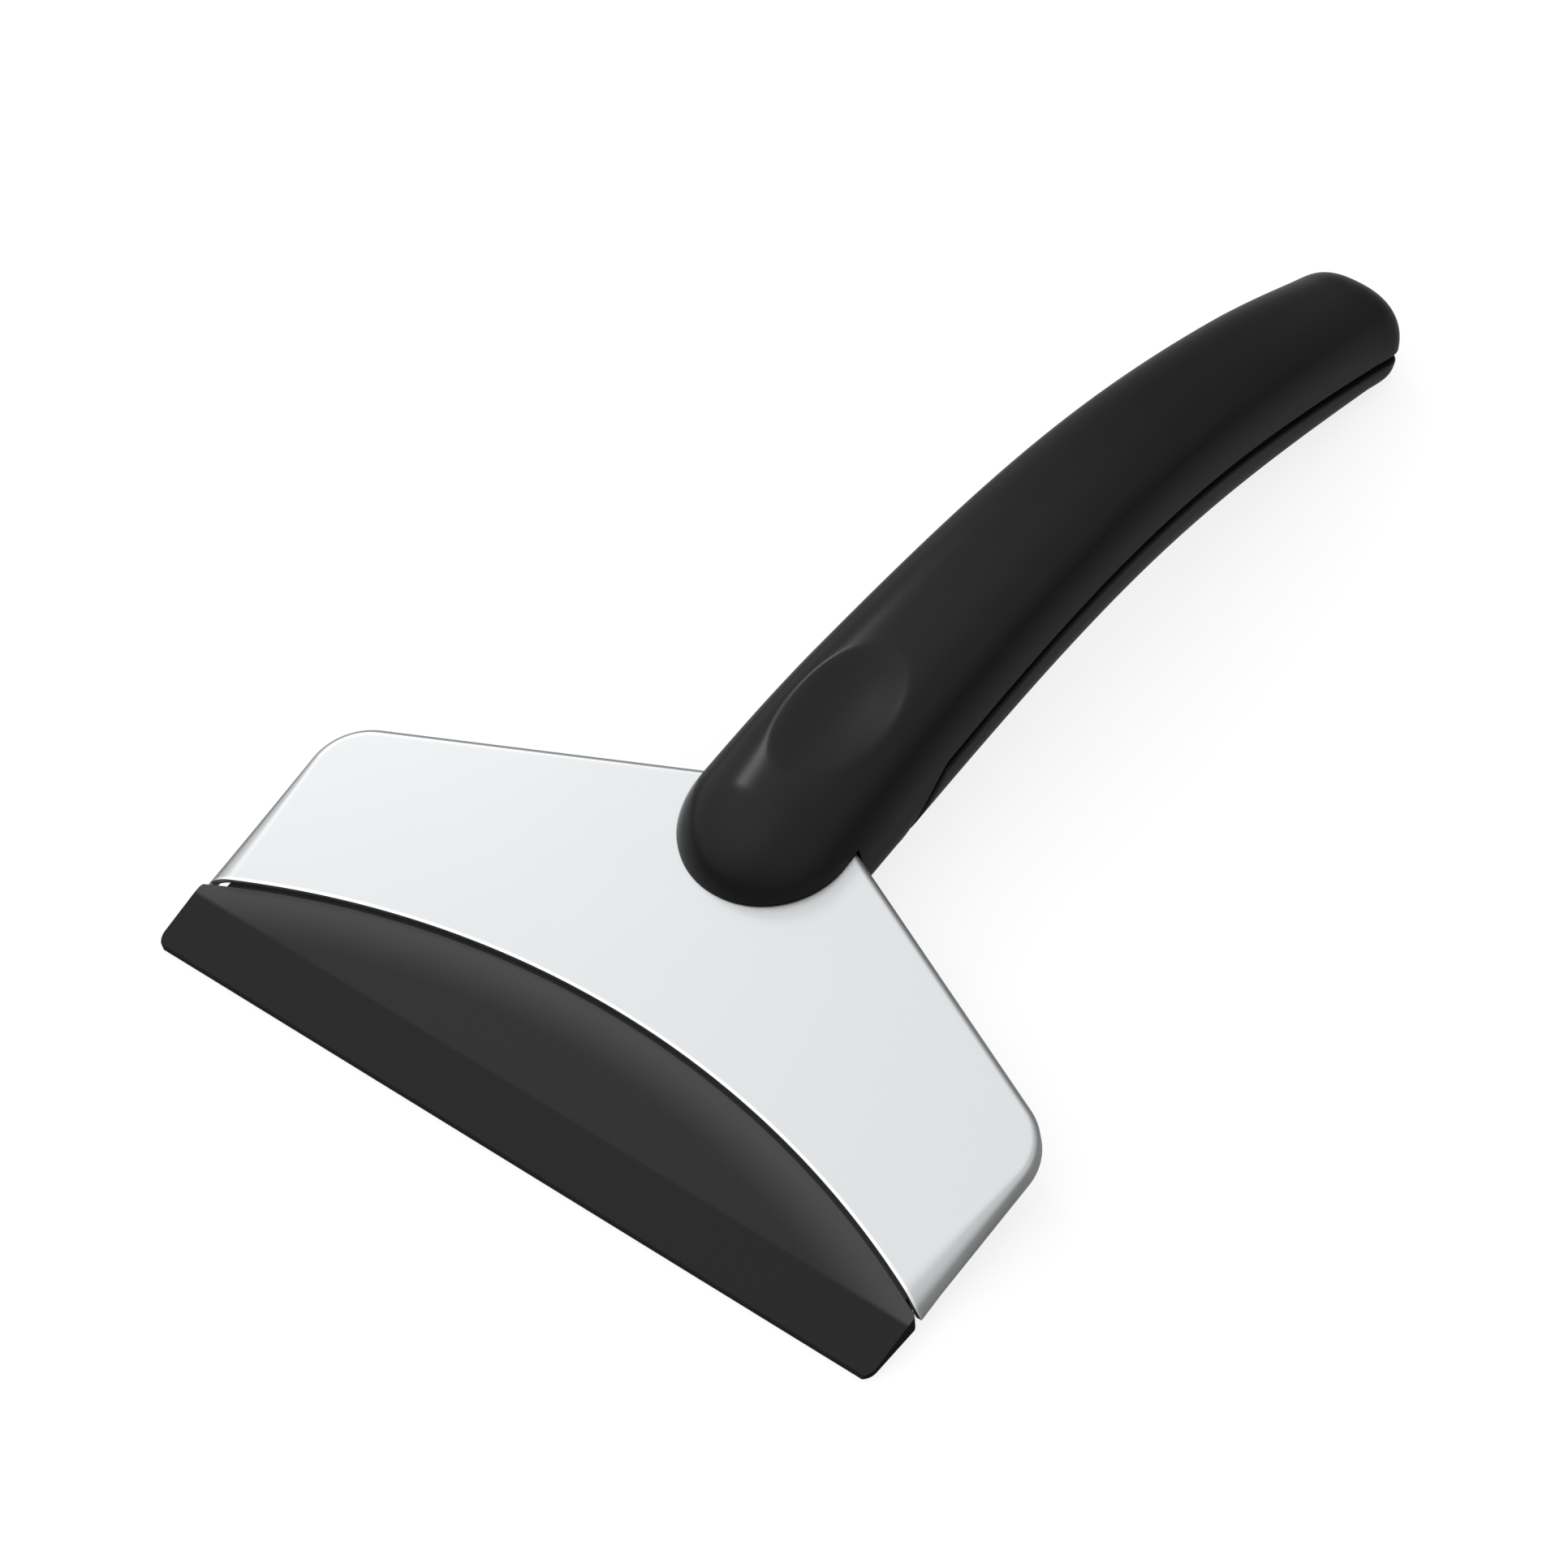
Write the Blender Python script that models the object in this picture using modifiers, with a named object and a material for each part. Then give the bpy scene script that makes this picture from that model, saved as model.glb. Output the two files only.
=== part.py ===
"""Hand ice scraper: a steel-covered head with a moulded blade on a curved two-shell handle.

The scraper rests on its cutting edge and on the end of its handle, as it does on a table.
X runs across the head, Y from the cutting edge to the handle's end, Z up. The origin is below
the middle of the whole scraper, on the floor. Lengths are in metres, angles in radians.
"""

import math

import bmesh
import bpy
from mathutils import Matrix, Vector

# Whole scraper
OVERALL_LENGTH = 0.1965
HEAD_TILT = math.radians(11.9)
GAP = 0.0003
OVERRUN = 0.0060
WELD = 0.00001
CHORD_SLACK = 0.0003
FLAT_ANGLE = math.radians(1)
UPRIGHT_LIMIT = 0.01

# Head outline, measured on the steel's top face from above the cutting edge
HEAD_WIDTH = 0.1200
PLATE_RISE = 0.0032
TIP_REACH = 0.0100
ARC_REACH = 0.0240
CORNER_REACH = 0.0394
APEX_REACH = 0.0664
CORNER_RADIUS = 0.0090
ARC_STEPS = 22
CORNER_STEPS = 6

# Steel cover
STEEL_THICKNESS = 0.0008
ROLL_RADIUS = 0.0020
ROLL_SEGMENTS = 4
FLANGE_DROP = 0.0031
TAB_WIDTH = 0.0140
TAB_END_MARGIN = 0.0086
TAB_CORNER_RADIUS = 0.0020

# Scraper blade
BLADE_THICKNESS = 0.0045
CREASE_REACH = 0.0081
EDGE_FACE_HEIGHT = 0.0011
BLADE_CORNER_RADIUS = 0.0024
BLADE_END_RADIUS = 0.0020
BLADE_TAPER = 0.0003
BLADE_TIP_GAP = 0.0004
LAP_START = 0.0050
LAP_DEPTH = 0.0080
LAP_TONGUE_THICKNESS = 0.0020

# Backing plate
BACKING_CLEARANCE = 0.0010
DECK_THICKNESS = 0.0020
RIM_WIDTH = 0.0020
RIB_WIDTH = 0.0018
RIB_SHARE = 0.55
NECK_PAD_WIDTH = 0.0200

# Handle, along its parting line, which starts below the steel's top face
SPINE_START_REACH = 0.0444
SPINE_START_SINK = 0.0035
SPINE_START_TURN = math.radians(-1.9)
SPINE_START_PULL = 0.0767
SPINE_END_SLOPE = math.radians(-17.2)
SPINE_END_PULL = 0.0627
ROOT_HALF_WIDTH = 0.0129
MIDDLE_HALF_WIDTH = 0.0106
END_HALF_WIDTH = 0.0094
ROOT_CROWN_HEIGHT = 0.0119
MIDDLE_CROWN_HEIGHT = 0.0106
END_CROWN_HEIGHT = 0.0082
ROOT_BELLY_DEPTH = 0.0067
MIDDLE_BELLY_DEPTH = 0.0090
END_BELLY_DEPTH = 0.0056
DOME_LENGTH = 0.0128
END_CAP_LENGTH = 0.0075
DOME_POWER = 2.0
END_CAP_POWER = 3.0
SHELL_WALL = 0.0020
BODY_STATIONS = 17
CAP_STATIONS = 5
SPINE_STEPS = 200

# Half of the handle's section, as shares of the half width and of the crown height or belly depth
CROWN_SHARES = (
    (1.00, 0.00),
    (0.995, 0.30),
    (0.97, 0.55),
    (0.90, 0.74),
    (0.76, 0.87),
    (0.55, 0.95),
    (0.28, 0.99),
    (0.00, 1.00),
)
BELLY_SHARES = (
    (0.99, 0.30),
    (0.94, 0.60),
    (0.82, 0.84),
    (0.62, 0.96),
    (0.32, 1.00),
    (0.00, 1.00),
)

# Joint between the shells below the neck, where the parting line turns down
PARTING_TURN_RUN = 0.0364
PARTING_TURN_SLOPE = math.radians(36)

# Thumb recess
RECESS_RUN = 0.0274
RECESS_LENGTH = 0.0265
RECESS_WIDTH = 0.0150
RECESS_DEPTH = 0.0018
RECESS_BALL_RISE = 0.0060
RECESS_FLOOR = 0.0016

# Screws
SCREW_HEAD_DIAMETER = 0.0050
SCREW_HEAD_HEIGHT = 0.0017
SCREW_SHANK_DIAMETER = 0.0024
SCREW_TIP_LENGTH = 0.0012
SCREW_STEPS = 14
SCREW_CROSS_WIDTH = 0.0007
SCREW_CROSS_LENGTH = 0.0028
SCREW_CROSS_DEPTH = 0.0009
BLADE_SCREW_LENGTH = 0.0042
SHELL_SCREW_LENGTH = 0.0105
BLADE_SCREW_SHARES = (0.28, 0.73)
NECK_SCREW_INSET = 0.0075
NECK_SCREW_SPACING = 0.0105
HANDLE_SCREW_FRONT_INSET = 0.0118
HANDLE_SCREW_REAR_INSET = 0.0265
POST_DIAMETER = 0.0066
SLEEVE_DIAMETER = 0.0088
WELL_DIAMETER = 0.0058
SEAT_DEPTH = 0.0044
SEAT_THICKNESS = 0.0016
BOSS_STEPS = 20

# Fineness of the thumb recess, and the rounds that settle the handle's end
BALL_SEGMENTS = 32
BALL_RINGS = 16
SETTLE_ROUNDS = 6

# Values that follow from the sizes above
EDGE_Y = -OVERALL_LENGTH / 2
HALF_WIDTH = HEAD_WIDTH / 2
ARC_RISE = ARC_REACH - TIP_REACH
ARC_RADIUS = (HALF_WIDTH ** 2 + ARC_RISE ** 2) / (2 * ARC_RISE)
ARC_CENTRE = ARC_REACH - ARC_RADIUS
DECK_TOP = -(STEEL_THICKNESS + GAP)
UNDERSIDE = DECK_TOP - BLADE_THICKNESS
EDGE_FACE_TOP = (EDGE_FACE_HEIGHT - PLATE_RISE / math.cos(HEAD_TILT)) * math.cos(HEAD_TILT) ** 2
FRONT_REACH = EDGE_FACE_TOP * math.tan(HEAD_TILT)
HOLE_DIAMETER = SCREW_SHANK_DIAMETER + 2 * GAP
NECK_SCREW_FRONT = SPINE_START_REACH + NECK_SCREW_INSET
NECK_SCREW_REACHES = (NECK_SCREW_FRONT, NECK_SCREW_FRONT + NECK_SCREW_SPACING)
TAB_REACH = NECK_SCREW_REACHES[1] + TAB_END_MARGIN
BACKING_INSET = ROLL_RADIUS + BACKING_CLEARANCE
BACKING_CORNER_RADIUS = CORNER_RADIUS - BACKING_INSET
ROD_REACH = ROOT_CROWN_HEIGHT + MIDDLE_BELLY_DEPTH + OVERRUN


def clear_scene():
    for item in list(bpy.data.objects):
        bpy.data.objects.remove(item, do_unlink=True)


def make_collection(name):
    group = bpy.data.collections.new(name)
    bpy.context.scene.collection.children.link(group)
    return group


def make_material(name, colour, roughness, metallic):
    material = bpy.data.materials.new(name)
    material.use_nodes = True
    shader = material.node_tree.nodes["Principled BSDF"]
    shader.inputs["Base Color"].default_value = (*colour, 1.0)
    shader.inputs["Roughness"].default_value = roughness
    shader.inputs["Metallic"].default_value = metallic
    return material


def make_empty(name, parent, location, tilt):
    empty = bpy.data.objects.new(name, None)
    PARTS.objects.link(empty)
    empty.parent = parent
    empty.location = location
    empty.rotation_euler = (tilt, 0, 0)
    return empty


def add_object(name, mesh, frame, group):
    item = bpy.data.objects.new(name, mesh)
    group.objects.link(item)
    item.parent = frame
    return item


def add_part(name, mesh, frame, material, smooth_angle=30):
    part = add_object(name, mesh, frame, PARTS)
    part.data.materials.append(material)
    part.data.shade_smooth()
    part.data.set_sharp_from_angle(angle=math.radians(smooth_angle))
    return part


def add_cutter(name, mesh, frame):
    cutter = add_object(name, mesh, frame, CUTTERS)
    cutter.hide_render = True
    cutter.display_type = "WIRE"
    return cutter


def combine(target, other, operation):
    boolean = target.modifiers.new(f"{operation.lower()}_{other.name}", "BOOLEAN")
    boolean.operation = operation
    boolean.object = other
    boolean.solver = "EXACT"


def mesh_from_bmesh(name, shape):
    bmesh.ops.recalc_face_normals(shape, faces=shape.faces)
    mesh = bpy.data.meshes.new(name)
    shape.to_mesh(mesh)
    shape.free()
    return mesh


def slab_mesh(name, outline, low, high):
    """A flat outline in X and Y, filled and thickened between two heights."""
    curve = bpy.data.curves.new(name, "CURVE")
    curve.dimensions = "2D"
    curve.fill_mode = "BOTH"
    curve.extrude = (high - low) / 2
    spline = curve.splines.new("POLY")
    spline.points.add(len(outline) - 1)
    for point, (across, along) in zip(spline.points, outline):
        point.co = (across, along, 0, 1)
    spline.use_cyclic_u = True
    holder = bpy.data.objects.new(name, curve)
    bpy.context.scene.collection.objects.link(holder)
    graph = bpy.context.evaluated_depsgraph_get()
    filled = bpy.data.meshes.new_from_object(holder.evaluated_get(graph))
    bpy.data.objects.remove(holder, do_unlink=True)
    shape = bmesh.new()
    shape.from_mesh(filled)
    bmesh.ops.remove_doubles(shape, verts=shape.verts, dist=WELD)
    bmesh.ops.translate(shape, verts=shape.verts, vec=(0, 0, (high + low) / 2))
    return mesh_from_bmesh(name, shape)


def side_slab_mesh(name, outline, half_width):
    """A flat outline in Y and Z, thickened across X."""
    mesh = slab_mesh(name, outline, -half_width, half_width)
    mesh.transform(Matrix(((0, 0, 1, 0), (1, 0, 0, 0), (0, 1, 0, 0), (0, 0, 0, 1))))
    return mesh


def rod_mesh(name, diameter, low, high):
    shape = bmesh.new()
    bmesh.ops.create_cone(
        shape,
        cap_ends=True,
        segments=BOSS_STEPS,
        radius1=diameter / 2,
        radius2=diameter / 2,
        depth=high - low,
        matrix=Matrix.Translation((0, 0, (high + low) / 2)),
    )
    return mesh_from_bmesh(name, shape)


def box_mesh(name, size, centre):
    shape = bmesh.new()
    placed = Matrix.Translation(centre) @ Matrix.Diagonal((*size, 1))
    bmesh.ops.create_cube(shape, size=1, matrix=placed)
    return mesh_from_bmesh(name, shape)


def rounded_outline(corners, steps):
    """A closed outline whose corners, given as (x, y, radius), are rounded by arcs."""
    outline = []
    for index, (x, y, radius) in enumerate(corners):
        here = Vector((x, y))
        if radius == 0:
            outline.append((x, y))
            continue
        before = Vector(corners[index - 1][:2]) - here
        after = Vector(corners[(index + 1) % len(corners)][:2]) - here
        before.normalize()
        after.normalize()
        half = before.angle(after) / 2
        centre = here + (before + after).normalized() * (radius / math.sin(half))
        start = here + before * (radius / math.tan(half)) - centre
        sweep = start.angle_signed(here + after * (radius / math.tan(half)) - centre)
        for step in range(steps + 1):
            turned = start.copy()
            turned.rotate(Matrix.Rotation(-sweep * step / steps, 2))
            outline.append(tuple(centre + turned))
    return outline


def arch_reach(across, back):
    """Reach of the steel's front arc, or of a wider arc that lies back from it."""
    return ARC_CENTRE + math.sqrt((ARC_RADIUS + back) ** 2 - across ** 2)


def arch_corners(half_width, back):
    """Points of such an arc from the left side to the right."""
    corners = []
    for step in range(ARC_STEPS + 1):
        across = half_width * (2 * step / ARC_STEPS - 1)
        corners.append((across, arch_reach(across, back), 0))
    return corners


def house_corners(inset, corner_radius, tab_half_width, tab_reach):
    """Right side, shoulders and tab of the head, moved in by an inset, up to the left side."""
    rise = APEX_REACH - CORNER_REACH
    slope = rise / HALF_WIDTH
    drop = inset * math.hypot(1, slope)
    side = HALF_WIDTH - inset
    corner = APEX_REACH - drop - slope * side
    root = APEX_REACH - drop - slope * tab_half_width
    right = [
        (side, corner, corner_radius),
        (tab_half_width, root, 0),
        (tab_half_width, tab_reach, TAB_CORNER_RADIUS),
    ]
    left = [(-x, y, radius) for x, y, radius in reversed(right)]
    return right + left


def cover_outline(grow):
    side = HALF_WIDTH + grow
    front = arch_corners(side, -grow)
    rest = house_corners(-grow, CORNER_RADIUS + grow, TAB_WIDTH / 2 + grow, TAB_REACH + grow)
    return rounded_outline(front + rest, CORNER_STEPS)


def make_steel_cover(screw_holes):
    """Stamped sheet: the outline's slab gets rolled edges, loses its front and underside, and
    the open surface that is left gets the sheet's thickness."""
    shape = bmesh.new()
    shape.from_mesh(slab_mesh("steel_block", cover_outline(0), -FLANGE_DROP, 0))
    bmesh.ops.dissolve_limit(shape, angle_limit=FLAT_ANGLE, verts=shape.verts, edges=shape.edges)
    shape.faces.ensure_lookup_table()
    shoulder_end = TAB_WIDTH / 2 + WELD
    rolled = []
    for edge in shape.edges:
        ends = [vertex.co for vertex in edge.verts]
        level = all(abs(point.z) < WELD for point in ends)
        behind = all(point.y > arch_reach(point.x, 0) - WELD for point in ends)
        on_arc = all(abs(point.y - arch_reach(point.x, 0)) < WELD for point in ends)
        outside_tab = any(abs(point.x) > shoulder_end for point in ends)
        if level and behind and not on_arc and outside_tab:
            rolled.append(edge)
    bmesh.ops.bevel(
        shape,
        geom=rolled,
        offset=ROLL_RADIUS,
        offset_type="OFFSET",
        segments=ROLL_SEGMENTS,
        profile=0.5,
        affect="EDGES",
        clamp_overlap=True,
    )
    unwanted = []
    for face in shape.faces:
        middle = face.calc_center_median()
        underside = all(abs(vertex.co.z + FLANGE_DROP) < WELD for vertex in face.verts)
        upright = abs(face.normal.z) < UPRIGHT_LIMIT
        front = upright and middle.y < arch_reach(middle.x, 0) + CHORD_SLACK
        tab = upright and all(abs(vertex.co.x) < shoulder_end for vertex in face.verts)
        if underside or front or tab:
            unwanted.append(face)
    bmesh.ops.delete(shape, geom=unwanted, context="FACES")
    cover = add_part("steel_cover", mesh_from_bmesh("steel_cover", shape), HEAD, STEEL)
    sheet = cover.modifiers.new("sheet", "SOLIDIFY")
    sheet.thickness = STEEL_THICKNESS
    sheet.offset = -1
    sheet.use_even_offset = True
    for hole in screw_holes:
        combine(cover, hole, "DIFFERENCE")


def neck_screw_holes():
    holes = []
    for index, reach in enumerate(NECK_SCREW_REACHES):
        name = f"neck_hole_{index + 1}"
        hole = add_cutter(name, rod_mesh(name, HOLE_DIAMETER, UNDERSIDE - OVERRUN, OVERRUN), HEAD)
        hole.location = (0, reach, 0)
        holes.append(hole)
    return holes


def blade_outline(half_width, back):
    """Plan of the blade: rounded cutting corners, a step at each tip, an arched back."""
    inner = HALF_WIDTH - BACKING_INSET
    step_reach = TIP_REACH - BLADE_TIP_GAP
    right = [
        (half_width - BLADE_TAPER, FRONT_REACH, BLADE_CORNER_RADIUS),
        (half_width, step_reach, BLADE_END_RADIUS),
        (inner, step_reach, 0),
    ]
    left = [(-x, y, radius) for x, y, radius in reversed(right)]
    arch = list(reversed(arch_corners(inner, back)))
    return rounded_outline(right + arch + left, CORNER_STEPS)


def make_blade(screw_holes):
    outline = blade_outline(HALF_WIDTH - GAP, LAP_START)
    blade_mesh = slab_mesh("scraper_blade", outline, UNDERSIDE, DECK_TOP)
    blade = add_part("scraper_blade", blade_mesh, HEAD, BLADE_PLASTIC)

    inner = HALF_WIDTH - BACKING_INSET
    front = [(-inner, CREASE_REACH, 0), (inner, CREASE_REACH, 0)]
    lap_outline = rounded_outline(front + list(reversed(arch_corners(inner, LAP_START + LAP_DEPTH))), 1)
    tongue_low = DECK_TOP - LAP_TONGUE_THICKNESS
    tongue = add_cutter("blade_tongue", slab_mesh("blade_tongue", lap_outline, tongue_low, DECK_TOP), HEAD)
    combine(blade, tongue, "UNION")

    bevel_run = CREASE_REACH - FRONT_REACH
    bevel_angle = math.atan2(DECK_TOP - EDGE_FACE_TOP, bevel_run)
    bevel_size = (HEAD_WIDTH + 2 * OVERRUN, 2 * bevel_run + 2 * OVERRUN, OVERRUN)
    bevel = add_cutter("blade_bevel", box_mesh("blade_bevel", bevel_size, (0, 0, OVERRUN / 2)), HEAD)
    bevel.location = (0, FRONT_REACH, EDGE_FACE_TOP)
    bevel.rotation_euler = (bevel_angle, 0, 0)
    combine(blade, bevel, "DIFFERENCE")

    floor_size = (HEAD_WIDTH + 2 * OVERRUN, HEAD_WIDTH, OVERRUN)
    floor = add_cutter("floor_cut", box_mesh("floor_cut", floor_size, (0, 0, -OVERRUN / 2)), ROOT)
    combine(blade, floor, "DIFFERENCE")

    for hole in screw_holes:
        combine(blade, hole, "DIFFERENCE")


def blade_screw_places():
    """Across and along places of the blade screws, in the middle of the lap."""
    places = []
    for share in BLADE_SCREW_SHARES:
        across = share * HALF_WIDTH
        reach = arch_reach(across, LAP_START + LAP_DEPTH / 2)
        places += [(-across, reach), (across, reach)]
    return places


def blade_screw_holes():
    holes = []
    for index, (across, reach) in enumerate(blade_screw_places()):
        name = f"blade_hole_{index + 1}"
        hole = add_cutter(name, rod_mesh(name, HOLE_DIAMETER, UNDERSIDE - OVERRUN, OVERRUN), HEAD)
        hole.location = (across, reach, 0)
        holes.append(hole)
    return holes


def make_backing_plate(screw_holes):
    inner = HALF_WIDTH - BACKING_INSET
    front = arch_corners(inner, LAP_START + GAP)
    tongue_half = TAB_WIDTH / 2 - STEEL_THICKNESS
    rest = house_corners(BACKING_INSET, BACKING_CORNER_RADIUS, tongue_half, TAB_REACH)
    outline = rounded_outline(front + rest, CORNER_STEPS)
    plate_mesh = slab_mesh("backing_plate", outline, UNDERSIDE, DECK_TOP)
    plate = add_part("backing_plate", plate_mesh, HEAD, HEAD_PLASTIC)

    lap_top = DECK_TOP - LAP_TONGUE_THICKNESS - GAP
    lap_back = LAP_START + LAP_DEPTH + GAP
    wide = inner + OVERRUN
    rebate_front = [(-wide, -OVERRUN, 0), (wide, -OVERRUN, 0)]
    rebate_outline = rounded_outline(rebate_front + list(reversed(arch_corners(wide, lap_back))), 1)
    rebate = add_cutter("lap_rebate", slab_mesh("lap_rebate", rebate_outline, lap_top, OVERRUN), HEAD)
    combine(plate, rebate, "DIFFERENCE")

    pocket_side = inner - RIM_WIDTH
    pocket_front = arch_corners(pocket_side, lap_back + RIM_WIDTH)
    pad_half = NECK_PAD_WIDTH / 2
    rear = house_corners(BACKING_INSET + RIM_WIDTH, BACKING_CORNER_RADIUS - RIM_WIDTH, pad_half, 0)
    right_shoulder, left_shoulder = rear[:2], rear[-2:]
    pocket_outline = rounded_outline(pocket_front + right_shoulder + left_shoulder, CORNER_STEPS)
    deck_low = DECK_TOP - DECK_THICKNESS
    pocket_mesh = slab_mesh("pocket", pocket_outline, UNDERSIDE - OVERRUN, deck_low)
    pocket = add_cutter("pocket", pocket_mesh, HEAD)
    rib_place = RIB_SHARE * HALF_WIDTH
    bars = ((-rib_place, RIB_WIDTH), (0, NECK_PAD_WIDTH), (rib_place, RIB_WIDTH))
    for index, (across, width) in enumerate(bars):
        size = (width, APEX_REACH, 2 * OVERRUN)
        place = (across, APEX_REACH / 2, UNDERSIDE)
        bar = add_cutter(f"rib_{index}", box_mesh(f"rib_{index}", size, place), HEAD)
        combine(pocket, bar, "DIFFERENCE")
    combine(plate, pocket, "DIFFERENCE")

    for hole in screw_holes:
        combine(plate, hole, "DIFFERENCE")


def spine_points(end_reach, end_rise):
    """Points of the handle's parting line in Y and Z, from the cutting edge."""
    along = Vector((math.cos(HEAD_TILT), math.sin(HEAD_TILT)))
    above = Vector((-along.y, along.x))
    start = Vector((0, PLATE_RISE)) + along * SPINE_START_REACH - above * SPINE_START_SINK
    end = Vector((end_reach, end_rise))
    slope = HEAD_TILT + SPINE_START_TURN
    lead = Vector((math.cos(slope), math.sin(slope))) * SPINE_START_PULL
    trail = Vector((math.cos(SPINE_END_SLOPE), math.sin(SPINE_END_SLOPE))) * SPINE_END_PULL
    handles = (start, start + lead, end - trail, end)
    points = []
    for step in range(SPINE_STEPS + 1):
        share = step / SPINE_STEPS
        rest = 1 - share
        weights = (rest ** 3, 3 * rest ** 2 * share, 3 * rest * share ** 2, share ** 3)
        point = Vector((0, 0))
        for weight, handle in zip(weights, handles):
            point += handle * weight
        points.append(point)
    return points


class Spine:
    """The parting line with its length, and the handle's sizes along it."""

    def __init__(self, points):
        self.points = points
        self.runs = [0.0]
        for before, after in zip(points, points[1:]):
            self.runs.append(self.runs[-1] + (after - before).length)
        self.length = self.runs[-1]

    def at(self, run):
        """Place and direction at a run along the line."""
        run = min(max(run, 0), self.length)
        index = 1
        while index < SPINE_STEPS and self.runs[index] < run:
            index += 1
        before, after = self.points[index - 1], self.points[index]
        share = (run - self.runs[index - 1]) / (self.runs[index] - self.runs[index - 1])
        return before.lerp(after, share), (after - before).normalized()

    def sizes(self, run, inset):
        """Half width, crown height and belly depth at a run, moved in by an inset."""
        body = (run - DOME_LENGTH) / (self.length - DOME_LENGTH - END_CAP_LENGTH)
        share = min(max(body, 0), 1)
        width = through(ROOT_HALF_WIDTH, MIDDLE_HALF_WIDTH, END_HALF_WIDTH, share)
        crown = through(ROOT_CROWN_HEIGHT, MIDDLE_CROWN_HEIGHT, END_CROWN_HEIGHT, share)
        belly = through(ROOT_BELLY_DEPTH, MIDDLE_BELLY_DEPTH, END_BELLY_DEPTH, share)
        cap = cap_share(run - inset, DOME_LENGTH - inset, DOME_POWER)
        cap *= cap_share(self.length - inset - run, END_CAP_LENGTH - inset, END_CAP_POWER)
        return (width - inset) * cap, (crown - inset) * cap, (belly - inset) * cap

    def stations(self, inset):
        """Runs of the sections from the dome's pole to the end's pole, closer in the caps."""
        runs = []
        for step in range(CAP_STATIONS):
            turn = math.pi / 2 * step / CAP_STATIONS
            runs.append(inset + (DOME_LENGTH - inset) * (1 - math.cos(turn)))
        straight = self.length - DOME_LENGTH - END_CAP_LENGTH
        for step in range(BODY_STATIONS + 1):
            runs.append(DOME_LENGTH + straight * step / BODY_STATIONS)
        for step in reversed(range(CAP_STATIONS)):
            turn = math.pi / 2 * step / CAP_STATIONS
            runs.append(self.length - inset - (END_CAP_LENGTH - inset) * (1 - math.cos(turn)))
        return runs


def through(start, middle, end, share):
    """A parabola through three values at shares 0, a half and 1."""
    first = start * (1 - share) * (1 - 2 * share)
    second = middle * 4 * share * (1 - share)
    return first + second + end * share * (2 * share - 1)


def cap_share(run, length, power):
    """Growth of the section over a rounded end, from 0 at its pole to 1."""
    left = min(max(1 - run / length, 0), 1)
    return (1 - left ** power) ** (1 / power)


def settle_spine():
    """Move the line's end until the handle ends at the overall length and rests on the floor."""
    end = Vector((OVERALL_LENGTH, END_BELLY_DEPTH))
    spine = Spine(spine_points(*end))
    for _ in range(SETTLE_ROUNDS):
        lowest = math.inf
        furthest = -math.inf
        for ring in handle_rings(spine, 0):
            lowest = min(lowest, min(point.z for point in ring))
            furthest = max(furthest, max(point.y for point in ring))
        end += Vector((OVERALL_LENGTH - furthest, -lowest))
        spine = Spine(spine_points(*end))
    return spine


def section_ring(place, direction, half_width, crown, belly):
    """One closed section of the handle, square to the parting line."""
    normal = Vector((-direction.y, direction.x))
    upper = [(x * half_width, y * crown) for x, y in CROWN_SHARES]
    lower = [(x * half_width, -y * belly) for x, y in BELLY_SHARES]
    right = list(reversed(lower)) + upper
    left = [(-x, height) for x, height in reversed(right[1:-1])]
    ring = []
    for across, height in right + left:
        spot = place + normal * height
        ring.append(Vector((across, spot.x, spot.y)))
    return ring


def handle_rings(spine, inset):
    rings = []
    for run in spine.stations(inset):
        place, direction = spine.at(run)
        rings.append(section_ring(place, direction, *spine.sizes(run, inset)))
    return rings


def loft_mesh(name, rings):
    """A closed skin over sections, the first and last of which have shrunk to a point."""
    shape = bmesh.new()
    first = shape.verts.new(rings[0][0])
    last = shape.verts.new(rings[-1][0])
    loops = [[shape.verts.new(point) for point in ring] for ring in rings[1:-1]]
    count = len(loops[0])
    for index in range(count):
        following = (index + 1) % count
        shape.faces.new((first, loops[0][following], loops[0][index]))
        for before, after in zip(loops, loops[1:]):
            shape.faces.new((before[index], before[following], after[following], after[index]))
        shape.faces.new((last, loops[-1][index], loops[-1][following]))
    return mesh_from_bmesh(name, shape)


def parting_outline(spine, shift, upper):
    """The side region above or below the parting line, which turns down behind the neck."""
    low = -OVERRUN
    line = []
    steps = 2 * BODY_STATIONS
    for step in range(steps + 1):
        run = PARTING_TURN_RUN + (spine.length - PARTING_TURN_RUN) * step / steps
        place, direction = spine.at(run)
        spot = place + Vector((-direction.y, direction.x)) * shift
        line.append(tuple(spot))
    foot = line[0][0] - (line[0][1] - low) / math.tan(PARTING_TURN_SLOPE)
    line.insert(0, (foot, low))
    place, direction = spine.at(spine.length)
    beyond = place + direction * OVERRUN + Vector((-direction.y, direction.x)) * shift
    line.append(tuple(beyond))
    if upper:
        high = max(point.y for point in spine.points) + ROD_REACH
        return line + [(beyond.x, high), (low, high), (low, low)]
    return line + [(beyond.x, low - OVERRUN), (foot, low - OVERRUN)]


def spine_matrix(spine, run):
    """Frame on the parting line: its Y runs along the line and its Z away from the belly."""
    place, direction = spine.at(run)
    turn = Matrix.Rotation(math.atan2(direction.y, direction.x), 4, "X")
    return Matrix.Translation((0, place.x, place.y)) @ turn


def handle_screw_places(spine):
    """The front and rear screws keep their distances from the joint and from the handle's end."""
    front = PARTING_TURN_RUN + HANDLE_SCREW_FRONT_INSET
    rear = spine.length - HANDLE_SCREW_REAR_INSET
    return [spine_matrix(spine, run) for run in (front, (front + rear) / 2, rear)]


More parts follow.
